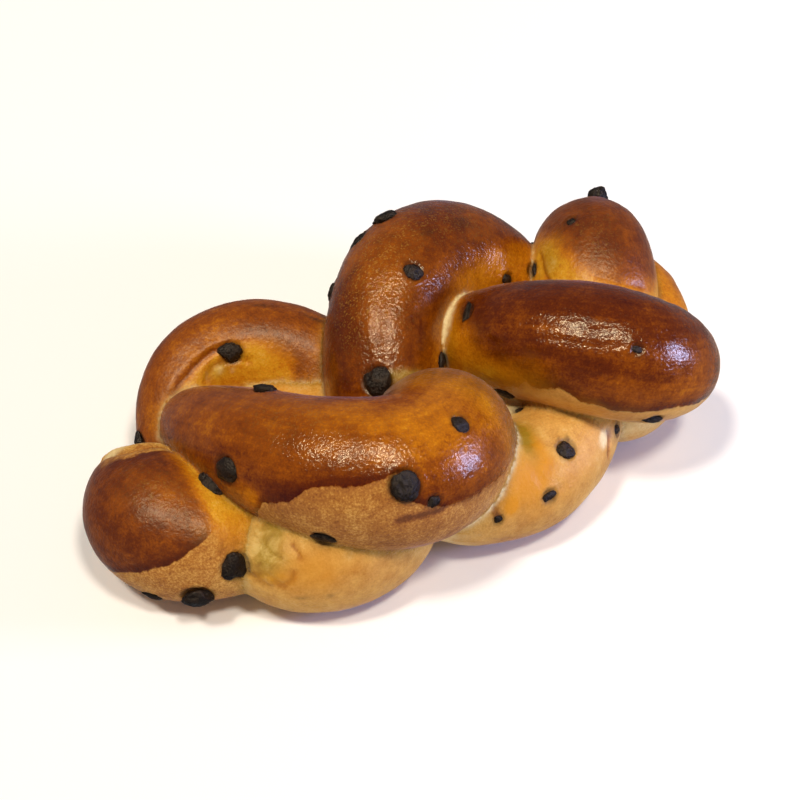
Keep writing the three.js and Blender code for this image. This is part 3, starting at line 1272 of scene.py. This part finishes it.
@dataclass(frozen=True)
class ChocolateFinish:
    """Baked chocolate: nearly black, dull where it has bloomed, glossy where it melted."""

    dark: str = "#120804"
    bloom: str = "#3A2A1E"

    def material(self) -> bpy.types.Material:
        """Builds the chocolate's material.

        Returns:
            The material.
        """
        material, s = new_material("baked_chocolate")
        place = s.place()
        clouds = s.noise(place, 420.0, 3.0, 0.6)
        grains = s.noise(place, 1700.0, 3.0, 0.7)
        bloom = (clouds * 0.6 + grains * 0.4).eased(0.48, 0.66)
        colour = s.mixed(bloom * 0.75, shade(self.dark), shade(self.bloom))
        pits = s.noise(place, 800.0, 3.0, 0.7)
        normal = s.bump(grains, 0.0003, 1.0, s.bump(pits, 0.0007, 1.0))
        s.finish(
            {
                "Base Color": colour,
                "Roughness": (0.32 + bloom * 0.36).clamped(),
                "Specular IOR Level": 0.45,
                "Specular Tint": (1.0, 0.88, 0.74, 1.0),
                "Normal": normal,
            }
        )
        return material


@dataclass(frozen=True)
class FloorFinish:
    """Plain white floor."""

    colour: str = "#FAFAFA"

    def material(self) -> bpy.types.Material:
        """Builds the floor's material.

        Returns:
            The material.
        """
        material, s = new_material("floor_white")
        s.finish({"Base Color": shade(self.colour), "Roughness": 0.8})
        return material


@dataclass(frozen=True)
class Chip:
    """One chocolate chip in the crust.

    Attributes:
        length: the length of rope that holds it.
        share: how far along that length.
        angle: degrees from its top, + to the left of its run.
        width: its width in mm.
        slim: its other width as a share of the first.
        turn: degrees from the rope's run to its longer width.
        proud: how much of its height stands out of the crust.
        tall: its height as a share of its width.
    """

    length: str
    share: float
    angle: float
    width: float
    slim: float
    turn: float
    proud: float
    tall: float = 0.52

    def spot(self) -> Array:
        """Where its middle is on the skin of its length of rope, in mm."""
        sweep = named_sweep(self.length)
        return sweep.at(self.share) + sweep.out(self.share, self.angle) * sweep.girth_at(self.share)


CHIPS = (
    Chip("frontRoll", 0.71, -53, 10.4, 0.98, 31, 0.62), Chip("frontRoll", 0.855, -26, 6.8, 0.95, -60, 0.50),
    Chip("frontRoll", 0.76, -70, 4.8, 0.80, 39, 0.45), Chip("frontRoll", 0.341, -68, 9.6, 0.90, 56, 0.55),
    Chip("frontRoll", 0.312, 30, 8.6, 0.55, 16, 0.85), Chip("backArch", 0.158, 10, 10.6, 0.85, -16, 0.72),
    Chip("leftBall", 0.585, 25, 10.6, 0.72, -19, 0.75), Chip("leftBall", 0.795, -64, 9.4, 0.98, 2, 0.42),
    Chip("leftBall", 0.640, -101, 11.4, 0.72, 24, 0.80), Chip("leftBall", 0.455, -117, 7.4, 0.50, 1, 0.60),
    Chip("frontRoll", 0.572, -109, 10.4, 0.42, 0, 0.42), Chip("backLeft", 0.065, 78, 8.0, 0.70, 160, 0.75),
    Chip("backLeft", 0.516, -54, 8.4, 0.80, -25, 0.50), Chip("backLeft", 0.30, 104, 8.0, 0.85, 40, 0.45),
    Chip("backLeft", 0.58, 88, 6.5, 0.80, 70, 0.45), Chip("backArch", 0.398, -25, 7.2, 0.92, -59, 0.42),
    Chip("backArch", 0.520, 34, 9.4, 0.62, -53, 0.72), Chip("backArch", 0.465, 52, 9.0, 0.50, -51, 0.42),
    Chip("backArch", 0.358, 74, 7.0, 0.65, -27, 0.66), Chip("backArch", 0.216, -84, 7.0, 0.80, 5, 0.65),
    Chip("backArch", 0.793, -67, 5.4, 0.70, 4, 0.50), Chip("backArch", 0.66, 82, 8.5, 0.80, 30, 0.45),
    Chip("backArch", 0.50, 106, 6.0, 0.90, 80, 0.45), Chip("backArch", 0.86, 70, 7.0, 0.75, 10, 0.45),
    Chip("rightRoll", 0.248, -25, 9.6, 0.30, -80, 0.45), Chip("rightRoll", 0.334, -123, 8.6, 0.60, -48, 0.55),
    Chip("rightRoll", 0.671, -42, 4.6, 0.60, -9, 0.40), Chip("rightRoll", 0.93, 70, 8.0, 0.80, 20, 0.45),
    Chip("frontTurn", 0.514, -34, 7.4, 0.88, -47, 0.42), Chip("frontTurn", 0.380, -67, 7.2, 0.45, 15, 0.42),
    Chip("frontTurn", 0.195, -78, 3.2, 0.95, 0, 0.45), Chip("frontTurn", 0.624, 44, 5.4, 0.50, -115, 0.50),
    Chip("frontTurn", 0.781, -72, 6.4, 0.48, -36, 0.50), Chip("rightRoll", 0.795, -118, 8.6, 0.40, 15, 0.60),
    Chip("rightKnob", 0.93, -6, 8.0, 0.95, -80, 0.80, 0.85),
    Chip("rightKnob", 0.655, 25, 4.2, 0.90, -99, 0.40),
    Chip("rightKnob", 0.518, 75, 7.8, 0.36, 0, 0.40), Chip("rightKnob", 0.75, 104, 7.5, 0.80, 30, 0.45),
    Chip("rightKnob", 0.35, 92, 6.0, 0.90, 60, 0.45), Chip("endNub", 0.60, 78, 7.0, 0.80, 10, 0.45),
)


@dataclass(frozen=True)
class Baking:
    """How dark one lobe has baked.

    Attributes:
        top: browning of the washed crust where it faces up.
        flank: browning of the washed crust on its sides.
        golden: browning of its golden part.
        toast: browning of the bare dough.
        streaks: how strongly it is streaked along its run.
        grain: how grainy its bare dough is.
        gloss: how glossy the wash on it is.
    """

    top: float
    flank: float
    golden: float = 0.3
    toast: float = 0.5
    streaks: float = 0.12
    grain: float = 1.0
    gloss: float = 1.0


BAKINGS: dict[str, Baking] = {
    "leftBall": Baking(0.74, 0.76, 0.27, 0.54, 0.10, 1.0, 0.5),
    "leftTurn": Baking(0.35, 0.30, 0.30, 0.37, 0.12, 0.35),
    "backArch": Baking(0.72, 0.72, 0.44, 0.35, 0.10),
    "backTuck": Baking(0.40, 0.30, 0.30, 0.35),
    "backLeft": Baking(0.63, 0.70, 0.30, 0.40, 0.10, 1.0, 0.45),
    "rightRoll": Baking(0.82, 0.77, 0.40, 0.42, 0.16, 0.35),
    "rightTurn": Baking(0.40, 0.30, 0.30, 0.30, 0.12, 0.4),
    "frontRoll": Baking(0.65, 0.72, 0.40, 0.62, 0.14),
    "frontTurn": Baking(0.35, 0.30, 0.30, 0.38, 0.12, 0.4),
    "rightKnob": Baking(0.76, 0.72, 0.32, 0.40, 0.10, 1.0, 0.5),
    "endNub": Baking(0.46, 0.38, 0.36, 0.30, 0.10, 1.0, 0.5),
}
CORE_BAKING = Baking(0.20, 0.20, 0.20, 0.42)
CORE_HONEY = 0.6


# Pale dough beside the creases, where the crust split open as it rose: how pale it is, and how many mm
# it reaches from the crease, by the lobe that it is on and the next one. "core" is what fills the plait
# below, "" is any lobe, and a later row takes the place of an earlier one.
PALE_BANDS: dict[tuple[str, str], tuple[float, float]] = {
    ("core", ""): (0.3, 4.0), ("core", "backLeft"): (0.05, 2.0), ("core", "rightRoll"): (0.8, 5.0),
    ("core", "frontTurn"): (0.8, 5.0), ("rightRoll", "backArch"): (0.9, 2.6),
    ("rightRoll", "core"): (0.4, 1.6), ("rightRoll", "frontRoll"): (0.5, 2.0),
    ("backArch", "rightRoll"): (0.35, 1.6), ("backArch", "core"): (0.3, 2.0),
    ("frontTurn", "frontRoll"): (0.7, 2.2), ("frontTurn", "rightRoll"): (0.2, 1.5),
    ("frontTurn", "core"): (0.7, 4.0), ("backLeft", "frontRoll"): (0.5, 2.2),
    ("backLeft", "backArch"): (0.25, 1.5), ("backLeft", "core"): (0.4, 2.0),
    ("leftTurn", "leftBall"): (0.2, 2.0), ("leftBall", "leftTurn"): (0.1, 1.6),
    ("leftBall", "backLeft"): (0.5, 1.8), ("rightKnob", "backArch"): (0.4, 1.6),
    ("rightKnob", "rightRoll"): (0.1, 1.5), ("backArch", "rightKnob"): (0.4, 1.6),
    ("rightTurn", "rightRoll"): (0.2, 1.6),
}


def linked(
    name: str, points: Any, faces: Any, material: bpy.types.Material | None = None
) -> bpy.types.Object:
    """Puts a mesh in the scene.

    Args:
        name: its name.
        points: its vertices in metres.
        faces: the vertices of each face.
        material: its material, if it shows.

    Returns:
        Its object.
    """
    mesh = bpy.data.meshes.new(name)
    mesh.from_pydata(points, [], faces)
    if material is not None:
        mesh.materials.append(material)
    obj = bpy.data.objects.new(name, mesh)
    bpy.context.scene.collection.objects.link(obj)
    return obj


def baked_piece(name: str, points: Array, faces: Array, material: bpy.types.Material) -> bpy.types.Object:
    """Puts a smooth piece of the loaf in the scene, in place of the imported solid.

    Args:
        name: its name.
        points: its vertices in mm.
        faces: the vertices of each face.
        material: its material.

    Returns:
        Its object, riding on the loaf's body.
    """
    obj = linked(name, (points * MM).tolist(), faces.tolist(), material)
    obj.data.polygons.foreach_set("use_smooth", np.ones(len(faces), dtype=bool))
    obj.data.update()
    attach(obj, CAD_BODY)
    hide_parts(CAD_NODE)
    LOG.info("%s: %d vertices, %d faces", name, len(points), len(faces))
    return obj


class Crust:
    """The loaf's skin with its relief and its browning."""

    def __init__(self, dough: Dough, finish: CrustFinish) -> None:
        """Takes the form and the finish.

        Args:
            dough: the plaited ropes.
            finish: the finish of the crust.
        """
        self.dough = dough
        self.finish = finish
        self.names = [lobe.name for lobe in dough.lobes]

    def lobe_named(self, name: str, place: Place) -> tuple[int, Array]:
        """Number of a named lobe, and which vertices are on it."""
        number = self.names.index(name)
        return number, place.lobe == number

    def rough_mesh(self) -> bpy.types.Object:
        """Makes every sweep as a closed tube with rounded ends.

        Returns:
            One object of all the tubes.
        """
        sides, rings, tips = 36, 40, 7
        points: list[Array] = []
        faces: list[tuple[int, ...]] = []
        for sweep in self.dough.sweeps():
            first = sum(len(part) for part in points)
            shares = np.r_[np.zeros(tips), np.linspace(0.0, 1.0, rings), np.ones(tips)]
            rise = np.linspace(-1.0, 0.0, tips, False)
            tip = np.r_[rise, np.zeros(rings), -rise[::-1]] * math.pi / 2
            tip[0], tip[-1] = -math.pi / 2 + 0.02, math.pi / 2 - 0.02
            size = sweep.girth_at(shares)
            run, left, top = sweep.axes(shares)
            turn = np.linspace(0.0, 2 * math.pi, sides, endpoint=False)
            middle = sweep.at(shares) + run * (np.sin(tip) * size)[:, None]
            out = (np.cos(tip) * size)[:, None, None]
            ring = left[:, None] * np.cos(turn)[None, :, None] + top[:, None] * np.sin(turn)[None, :, None]
            points.append((middle[:, None] + ring * out).reshape(-1, 3))
            count = len(shares)
            for row in range(count - 1):
                for side in range(sides):
                    a = first + row * sides + side
                    b = first + row * sides + (side + 1) % sides
                    faces.append((a, b, b + sides, a + sides))
            faces.append(tuple(first + side for side in reversed(range(sides))))
            faces.append(tuple(first + (count - 1) * sides + side for side in range(sides)))
        return linked("rough_ropes", (np.vstack(points) * MM).tolist(), faces)

    def remeshed(self) -> Skin:
        """Wraps one closed skin round all the tubes.

        Returns:
            The skin, as coarse as its voxels leave it.
        """
        rough = self.rough_mesh()
        modifier = rough.modifiers.new("one_skin", "REMESH")
        modifier.mode = "VOXEL"
        modifier.voxel_size = SKIN_STEP * MM
        mesh = rough.evaluated_get(bpy.context.evaluated_depsgraph_get()).to_mesh()
        points = np.empty(len(mesh.vertices) * 3)
        mesh.vertices.foreach_get("co", points)
        quads = np.empty(len(mesh.loops), dtype=np.int32)
        mesh.loops.foreach_get("vertex_index", quads)
        skin = Skin(points.reshape(-1, 3) / MM, quads.reshape(-1, 4))
        bpy.data.objects.remove(rough, do_unlink=True)
        return skin.outermost()

    def settled(self) -> Skin:
        """Lays the skin exactly on the form and spreads its vertices evenly.

        Returns:
            The settled skin.
        """
        skin = self.remeshed()
        edges = skin.edges()
        for smoothing in (0.6, 0.6, 0.5, 0.4, 0.0):
            if smoothing:
                skin.points += (skin.averaged(skin.points, edges) - skin.points) * smoothing
            for _ in range(2):
                distance, out = self.dough.skin(skin.points)
                skin.points -= out * np.clip(distance, -2.0, 2.0)[:, None]
        skin.points[:, 2] = np.maximum(skin.points[:, 2], 0.0)
        return skin

    @staticmethod
    def fold_reach(main: Sweep, fold: Fold, at: Array) -> Array:
        """Mm from the line of a fold, for the vertices on its lobe.

        Args:
            main: the sweep of the lobe.
            fold: the fold.
            at: mm along and around the lobe of each vertex.

        Returns:
            The distances along the skin.
        """
        line = [main.unrolled(share, angle) for share, angle in fold.points]
        nearest = np.full(len(at), FAR)
        for start, end in itertools.pairwise(line):
            way = end - start
            share = np.clip((at - start) @ way / (way @ way), 0.0, 1.0)
            nearest = np.minimum(nearest, np.linalg.norm(at - start - share[:, None] * way, axis=1))
        return nearest

    def fold_marks(self, skin: Skin, place: Place) -> tuple[Array, Array]:
        """Marks of all the folds.

        Args:
            skin: the settled skin.
            place: where its vertices lie on the loaf.

        Returns:
            Their depth in mm and how much darker they baked, at each vertex.
        """
        depth = np.zeros(len(place.lobe))
        brown = np.zeros(len(place.lobe))
        waver = FOLD_WAVER.at(skin.points)
        for name, folds in FOLDS.items():
            number, mine = self.lobe_named(name, place)
            at = np.stack([place.run[mine], place.around[mine]], axis=1)
            for fold in folds:
                reach = self.fold_reach(self.dough.lobes[number].main, fold, at) + waver[mine] * 0.5
                mark = np.exp(-np.square(reach / fold.width)) * (1.0 + 0.4 * waver[mine])
                depth[mine] += fold.depth * mark
                brown[mine] += fold.brown * mark
        return depth, brown

    def chip_rings(self, skin: Skin) -> tuple[Array, Array]:
        """Marks of the chips' rims.

        Args:
            skin: the settled skin.

        Returns:
            The dark seam at the rims and their lift in mm, at each vertex.
        """
        seam = np.zeros(len(skin.points))
        lift = np.zeros(len(skin.points))
        for chip in CHIPS:
            reach = np.linalg.norm(skin.points - chip.spot(), axis=1)
            near = reach < chip.width * 1.5
            rim = chip.width * (0.25 + 0.25 * chip.slim)
            gap = reach[near] - rim
            seam[near] = np.maximum(seam[near], np.exp(-np.square(np.maximum(gap, 0.0) / 0.9)))
            lift[near] += 0.35 * np.exp(-np.square((gap - 1.0) / 0.9)) - 0.5 * (gap < 0.4)
        return seam, lift

    def relief(self, skin: Skin, place: Place) -> Array:
        """Unevenness of the crust.

        Args:
            skin: the settled skin.
            place: where its vertices lie on the loaf.

        Returns:
            Mm out of the skin at each vertex.
        """
        lift = SWELLS.at(skin.points) * 0.9 + DENTS.at(skin.points) * 0.24
        grain = np.stack([place.run / 7.0, place.around / 2.4, place.lobe * 9.0], axis=1)
        wrinkled = self.lobe_named("rightRoll", place)[1] * 0.14 + 0.05
        lift += WRINKLES.at(grain) * wrinkled
        shreds = np.exp(-np.maximum(place.crease, 0.0) / 3.0) * ~self.lobe_named("frontRoll", place)[1]
        lift += SHREDS.at(skin.points) * 0.5 * shreds
        ragged = self.patched(skin, place, Look.TORN)
        lift += ragged * (TEARS.at(skin.points) * 0.7 - 0.3)
        depth, _ = self.fold_marks(skin, place)
        _, rims = self.chip_rings(skin)
        calm = eased(skin.points[:, 2], 0.5, 8.0)
        return (lift * (0.35 + 0.65 * eased(place.crease, 0.5, 5.0)) - depth + rims) * calm

    def patched(self, skin: Skin, place: Place, look: Look) -> Array:
        """Adds up the patches of one look.

        Args:
            skin: the settled skin.
            place: where its vertices lie on the loaf.
            look: the look.

        Returns:
            Their strength at each vertex.
        """
        total = np.zeros(len(place.lobe))
        waver = PATCH_WAVER.at(skin.points)
        for name, rows in PATCHES[look].items():
            number, mine = self.lobe_named(name, place)
            for patch in itertools.starmap(Patch, rows):
                run, middle = self.dough.lobes[number].main.unrolled(patch.share, patch.angle)
                along = (place.run[mine] - run) / patch.along
                around = (place.around[mine] - middle) / patch.around
                reach = np.sqrt(along**2 + around**2) * (1.0 + 0.35 * waver[mine])
                total[mine] += patch.strength * np.exp(-(reach**2.5))
        return total

    def edge_reach(self, place: Place, name: str, edge: Edge, mine: Array) -> Array:
        """How far the vertices of one lobe are from a line on it.

        Args:
            place: where the vertices lie on the loaf.
            name: the lobe.
            edge: the line.
            mine: which vertices are on the lobe.

        Returns:
            Mm from the line, + beyond it.
        """
        main = self.dough.lobes[self.names.index(name)].main
        share = place.share[mine]
        return edge.reach(share, place.angle[mine], main.girth_at(share), main.length())

    def wash_reach(self, place: Place) -> Array:
        """How far each vertex is from the edge of the egg wash.

        Args:
            place: where its vertices lie on the loaf.

        Returns:
            Mm, + where it is washed.
        """
        reach = np.full(len(place.lobe), UNWASHED)
        for name, edge in WASH_EDGES.items():
            number, mine = self.lobe_named(name, place)
            girth = self.dough.lobes[number].main.girth_at(place.share[mine])
            back = (BACK_EDGE - place.angle[mine]) * girth * math.pi / 180
            reach[mine] = np.minimum(self.edge_reach(place, name, edge, mine), back)
            if name == "leftBall":
                length = self.dough.lobes[number].main.length()
                fold = SKIN_FOLD.reach(place.run[mine] / length, place.angle[mine], girth, length)
                reach[mine] = np.minimum(reach[mine], fold)
        return np.clip(reach, UNWASHED, 30.0)

    def sharpness(self, place: Place) -> Array:
        """How sharp the edge of the wash is.

        Args:
            place: where its vertices lie on the loaf.

        Returns:
            0 to 1 at each vertex.
        """
        sharp = np.ones(len(place.lobe))
        for name, stops in SHARPNESS.items():
            _, mine = self.lobe_named(name, place)
            shares, values = zip(*stops)
            sharp[mine] = np.interp(place.share[mine], shares, values)
        return sharp

    def mahogany(self, skin: Skin, place: Place) -> Array:
        """How far each vertex is on the mahogany side of its lobe.

        Args:
            skin: the settled skin.
            place: where its vertices lie on the loaf.

        Returns:
            0 to 1 at each vertex.
        """
        share = np.ones(len(place.lobe))
        for name, (edge, width) in TONE_EDGES.items():
            _, mine = self.lobe_named(name, place)
            reach = self.edge_reach(place, name, edge, mine) + TONE_WAVER.at(skin.points[mine]) * 3.0
            share[mine] = eased(reach, -width, width)
        return share

    def paleness(self, skin: Skin, place: Place) -> Array:
        """How pale the dough is beside the creases.

        Args:
            skin: the settled skin.
            place: where its vertices lie on the loaf.

        Returns:
            0 to 1 at each vertex.
        """
        names = [*self.names, "core"]
        pale = np.zeros(len(place.lobe))
        uneven = 1.0 + 0.7 * CREASE_WAVER.at(skin.points)
        for (lobe, beside), (strength, width) in PALE_BANDS.items():
            mine = place.lobe == names.index(lobe)
            if beside:
                mine &= place.beside == names.index(beside)
            reach = np.maximum(place.crease[mine], 0.0) / np.maximum(width * uneven[mine], 0.5)
            pale[mine] = strength * np.exp(-(reach**1.5))
        return pale * eased(skin.points[:, 2], 3.0, 10.0)

    def baking(self, skin: Skin, place: Place) -> dict[str, Array]:
        """What the crust's finish reads at each vertex.

        Args:
            skin: the settled skin.
            place: where its vertices lie on the loaf.

        Returns:
            One value or vector a vertex, by name.
        """
        up = skin.normals()[:, 2]
        high = eased(skin.points[:, 2], 8.0, 45.0)
        bakings = [BAKINGS[name] for name in self.names] + [CORE_BAKING]
        top, flank, golden, toast, streaks, grain, gloss = (
            np.array([getattr(baking, key) for baking in bakings])[place.lobe]
            for key in ("top", "flank", "golden", "toast", "streaks", "grain", "gloss")
        )
        facing = eased(up, 0.1, 0.95)
        crease = np.maximum(place.crease, 0.0)
        open_crust = 1.0 - np.exp(-crease / 3.5)
        brown = (flank + (top - flank) * facing) * (0.86 + 0.14 * open_crust) - 0.08 * (1.0 - high)
        mahogany = self.mahogany(skin, place)
        under = eased(skin.points[:, 2], 3.0, 0.2)
        tone = self.patched(skin, place, Look.TONE) + self.fold_marks(skin, place)[1]
        seam, _ = self.chip_rings(skin)
        return {
            "wash": self.wash_reach(place),
            "sharp": self.sharpness(place),
            "bake": golden + (brown - golden) * mahogany + tone,
            "toast": toast * (0.7 + 0.3 * open_crust) + 0.25 * under + tone,
            "streaks": streaks * mahogany,
            "pale": self.paleness(skin, place) + self.patched(skin, place, Look.PALE),
            "dark": np.maximum(self.patched(skin, place, Look.BRUISE), seam * 0.62),
            # Olive along every crease, strongest in the crease itself: painted crease shade
            "butter": self.patched(skin, place, Look.BUTTER) + 0.45 * np.exp(-crease / 1.7),
            "honey": self.patched(skin, place, Look.HONEY) + CORE_HONEY * (place.lobe == len(self.names)),
            # Pebbling, and where gold glints are painted
            "fleck": self.patched(skin, place, Look.FLECK),
            "shreds": self.patched(skin, place, Look.TORN),
            "coarse": grain,
            "gloss": gloss,
            "torn": np.exp(-crease / 2.0),
            "grain": np.stack([place.run, place.around, place.lobe * 40.0], axis=1),
        }

    def build(self) -> bpy.types.Object:
        """Makes the crust's object.

        Returns:
            The object, dressed and riding on the loaf's body.
        """
        skin = self.settled()
        place = self.dough.place(skin.points)
        values = self.baking(skin, place)
        skin.points += skin.normals() * self.relief(skin, place)[:, None]
        skin.points[:, 2] = np.maximum(skin.points[:, 2], 0.0)
        obj = baked_piece("loaf_crust", skin.points, skin.quads, self.finish.material())
        for name, numbers in values.items():
            kind, part = ("FLOAT_VECTOR", "vector") if numbers.ndim == 2 else ("FLOAT", "value")
            layer = obj.data.attributes.new(name, kind, "POINT")
            layer.data.foreach_set(part, numbers.astype(np.float32).ravel())
        return obj


class ChocolateChips:
    """The chocolate chips that show in the crust."""

    wide = 7.0

    def __init__(self, dough: Dough, crust: bpy.types.Object, finish: ChocolateFinish) -> None:
        """Takes what the chips sit in.

        Args:
            dough: the plaited ropes.
            crust: the crust's object.
            finish: the finish of the chocolate.
        """
        self.lobes = {lobe.name: lobe.main for lobe in dough.lobes}
        self.finish = finish
        self.tree = BVHTree.FromObject(crust, bpy.context.evaluated_depsgraph_get())
        self.chance = np.random.default_rng(415)

    @staticmethod
    def ball(fineness: int) -> tuple[Array, Array]:
        """A ball of radius 1.

        Args:
            fineness: how often its triangles are divided.

        Returns:
            Its vertices and its triangles.
        """
        mesh = bmesh.new()
        bmesh.ops.create_icosphere(mesh, subdivisions=fineness, radius=1.0)
        points = np.array([vertex.co[:] for vertex in mesh.verts])
        tris = np.array([[vertex.index for vertex in face.verts] for face in mesh.faces])
        mesh.free()
        return points, tris

    def lump(self, ball: Array) -> Array:
        """One irregular lump with a few flat sides.

        Args:
            ball: vertices of a ball of radius 1.

        Returns:
            Vertices of the lump, about as large.
        """
        seed = int(self.chance.integers(1000))
        size = 1.05 + 0.16 * lattice(ball, 1.1, seed) + 0.14 * lattice(ball, 0.55, seed + 1)
        lump = ball * size[:, None]
        for _ in range(6):
            side = unit(self.chance.normal(size=3))
            over = np.maximum(lump @ side - self.chance.uniform(0.76, 0.95), 0.0)
            lump = lump - side[None, :] * (over * 0.85)[:, None]
        pits = np.maximum(lattice(ball, 0.34, seed + 3) - 0.15, 0.0)
        return lump + unit(lump) * (0.06 * lattice(lump, 0.2, seed + 2) - 0.20 * pits)[:, None]

    def seat(self, chip: Chip) -> tuple[Array, Array, Array]:
        """Where a chip sits.

        Args:
            chip: the chip.

        Returns:
            Where it meets the crust in mm, the way out there and the way along its rope.
        """
        sweep = self.lobes[chip.length]
        run = sweep.axes(np.array(chip.share))[0]
        out = sweep.out(chip.share, chip.angle)
        spot, normal, _, _ = self.tree.find_nearest(Vector((chip.spot() * MM).tolist()))
        out = unit(out + np.array(normal) * 1.5)
        return np.array(spot) / MM, out, run

    def build(self) -> bpy.types.Object:
        """Makes the chips' object.

        Returns:
            The object, dressed and riding on the loaf's body.
        """
        coarse, fine = self.ball(3), self.ball(4)
        points: list[Array] = []
        faces: list[Array] = []
        for chip in CHIPS:
            spot, out, run = self.seat(chip)
            turn = math.radians(chip.turn)
            side = unit(np.cross(out, run))
            along = np.cross(side, out)
            cosine, sine = math.cos(turn), math.sin(turn)
            along, side = along * cosine + side * sine, side * cosine - along * sine
            tall = chip.tall * (0.4 + 0.6 * chip.slim) * chip.width
            sphere, tris = fine if chip.width > self.wide else coarse
            lump = self.lump(sphere) * np.array([chip.width / 2, chip.width * chip.slim / 2, tall / 2])
            centre = spot + out * tall * (chip.proud - 0.5)
            faces.append(tris + sum(len(part) for part in points))
            points.append(centre + lump[:, :1] * along + lump[:, 1:2] * side + lump[:, 2:] * out)
        LOG.info("%d chips", len(CHIPS))
        return baked_piece("chocolate_chips", np.vstack(points), np.vstack(faces), self.finish.material())


class Shine(Enum):
    """Kinds of light, by Blender's names."""

    DISTANT = "SUN"
    NEARBY = "AREA"


def towards(azimuth: float, elevation: float) -> Vector:
    """Direction from the loaf to a place round it, for degrees round it and above the floor."""
    a, e = math.radians(azimuth), math.radians(elevation)
    return Vector((math.sin(a) * math.cos(e), -math.cos(a) * math.cos(e), math.sin(e)))


@dataclass(frozen=True)
class Lamp:
    """One soft light that faces the loaf.

    Attributes:
        name: its name.
        kind: what it shines like.
        azimuth: degrees round the loaf, 0 from the front and 90 from its right end.
        elevation: degrees above the floor.
        distance: metres from the loaf.
        size: metres across an area light, or degrees across a distant one.
        power: watts of an area light, or watts a square metre of a distant one.
        colour: its colour.
    """

    name: str
    kind: Shine
    azimuth: float
    elevation: float
    distance: float
    size: float
    power: float
    colour: str

    def build(self) -> None:
        """Puts the light in the scene."""
        data = bpy.data.lights.new(self.name, self.kind.value)
        if self.kind is Shine.DISTANT:
            data.angle = math.radians(self.size)
        else:
            data.size = self.size
        data.energy = self.power
        data.color = shade(self.colour)[:3]
        lamp = bpy.data.objects.new(self.name, data)
        back = towards(self.azimuth, self.elevation)
        lamp.location = back * self.distance
        lamp.rotation_mode = "QUATERNION"
        lamp.rotation_quaternion = back.to_track_quat("Z", "Y")
        bpy.context.scene.collection.objects.link(lamp)


LAMPS = (
    Lamp("ceiling_left", Shine.DISTANT, -84.0, 68.0, 1.0, 9.0, 1.7, "#FFF4E2"),
    Lamp("ceiling_front", Shine.DISTANT, 10.0, 68.0, 1.0, 9.0, 1.6, "#FFF4E2"),
    Lamp("window", Shine.NEARBY, 55.0, 14.0, 0.8, 0.17, 4.6, "#AEBBFF"),
)


@dataclass(frozen=True)
class Studio:
    """Camera, pale floor and soft light."""

    azimuth: float = -30.0
    elevation: float = 45.0
    distance: float = 0.6
    aim: Triple = (-0.00627, 0.00081, 0.030)
    focal_length: float = 74.17
    sensor: float = 36.0
    floor_half: float = 3.0
    floor_level: float = -0.0001
    world_colour: str = "#F4F7FF"
    world_strength: float = 0.17

    def build_camera(self) -> None:
        """Makes the camera."""
        data = bpy.data.cameras.new("camera")
        data.lens = self.focal_length
        data.sensor_width = self.sensor
        data.clip_start = 0.01
        data.clip_end = 50.0
        camera = bpy.data.objects.new("camera", data)
        back = towards(self.azimuth, self.elevation)
        camera.location = Vector(self.aim) + back * self.distance
        camera.rotation_mode = "QUATERNION"
        camera.rotation_quaternion = back.to_track_quat("Z", "Y")
        bpy.context.scene.collection.objects.link(camera)
        bpy.context.scene.camera = camera

    def build_floor(self) -> None:
        """Makes the floor."""
        half = self.floor_half
        corners = [(x * half, y * half, self.floor_level) for x, y in ((-1, -1), (1, -1), (1, 1), (-1, 1))]
        floor = linked("floor", corners, [(0, 1, 2, 3)], FloorFinish().material())
        floor.visible_glossy = False

    def build_world(self) -> None:
        """Makes the even light from all round."""
        world = bpy.data.worlds.new("soft_room")
        bpy.context.scene.world = world
        world.use_nodes = True
        s = Surface(world.node_tree)
        light = {"Color": shade(self.world_colour), "Strength": self.world_strength}
        sky = s.add("ShaderNodeBackground", {}, light)
        s.add("ShaderNodeOutputWorld", {}, {"Surface": sky})

    def build(self) -> None:
        """Makes the camera, the floor and the lights."""
        self.build_camera()
        self.build_floor()
        self.build_world()
        for lamp in LAMPS:
            lamp.build()
        bpy.context.scene.view_settings.view_transform = "Standard"


def main() -> None:
    """Builds the loaf, its chips and the studio."""
    logging.basicConfig(level=logging.INFO, format="%(name)s: %(message)s")
    dough = Dough.plaited()
    crust = Crust(dough, CrustFinish()).build()
    ChocolateChips(dough, crust, ChocolateFinish()).build()
    Studio().build()
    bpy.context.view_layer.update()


if __name__ == "__main__":
    main()
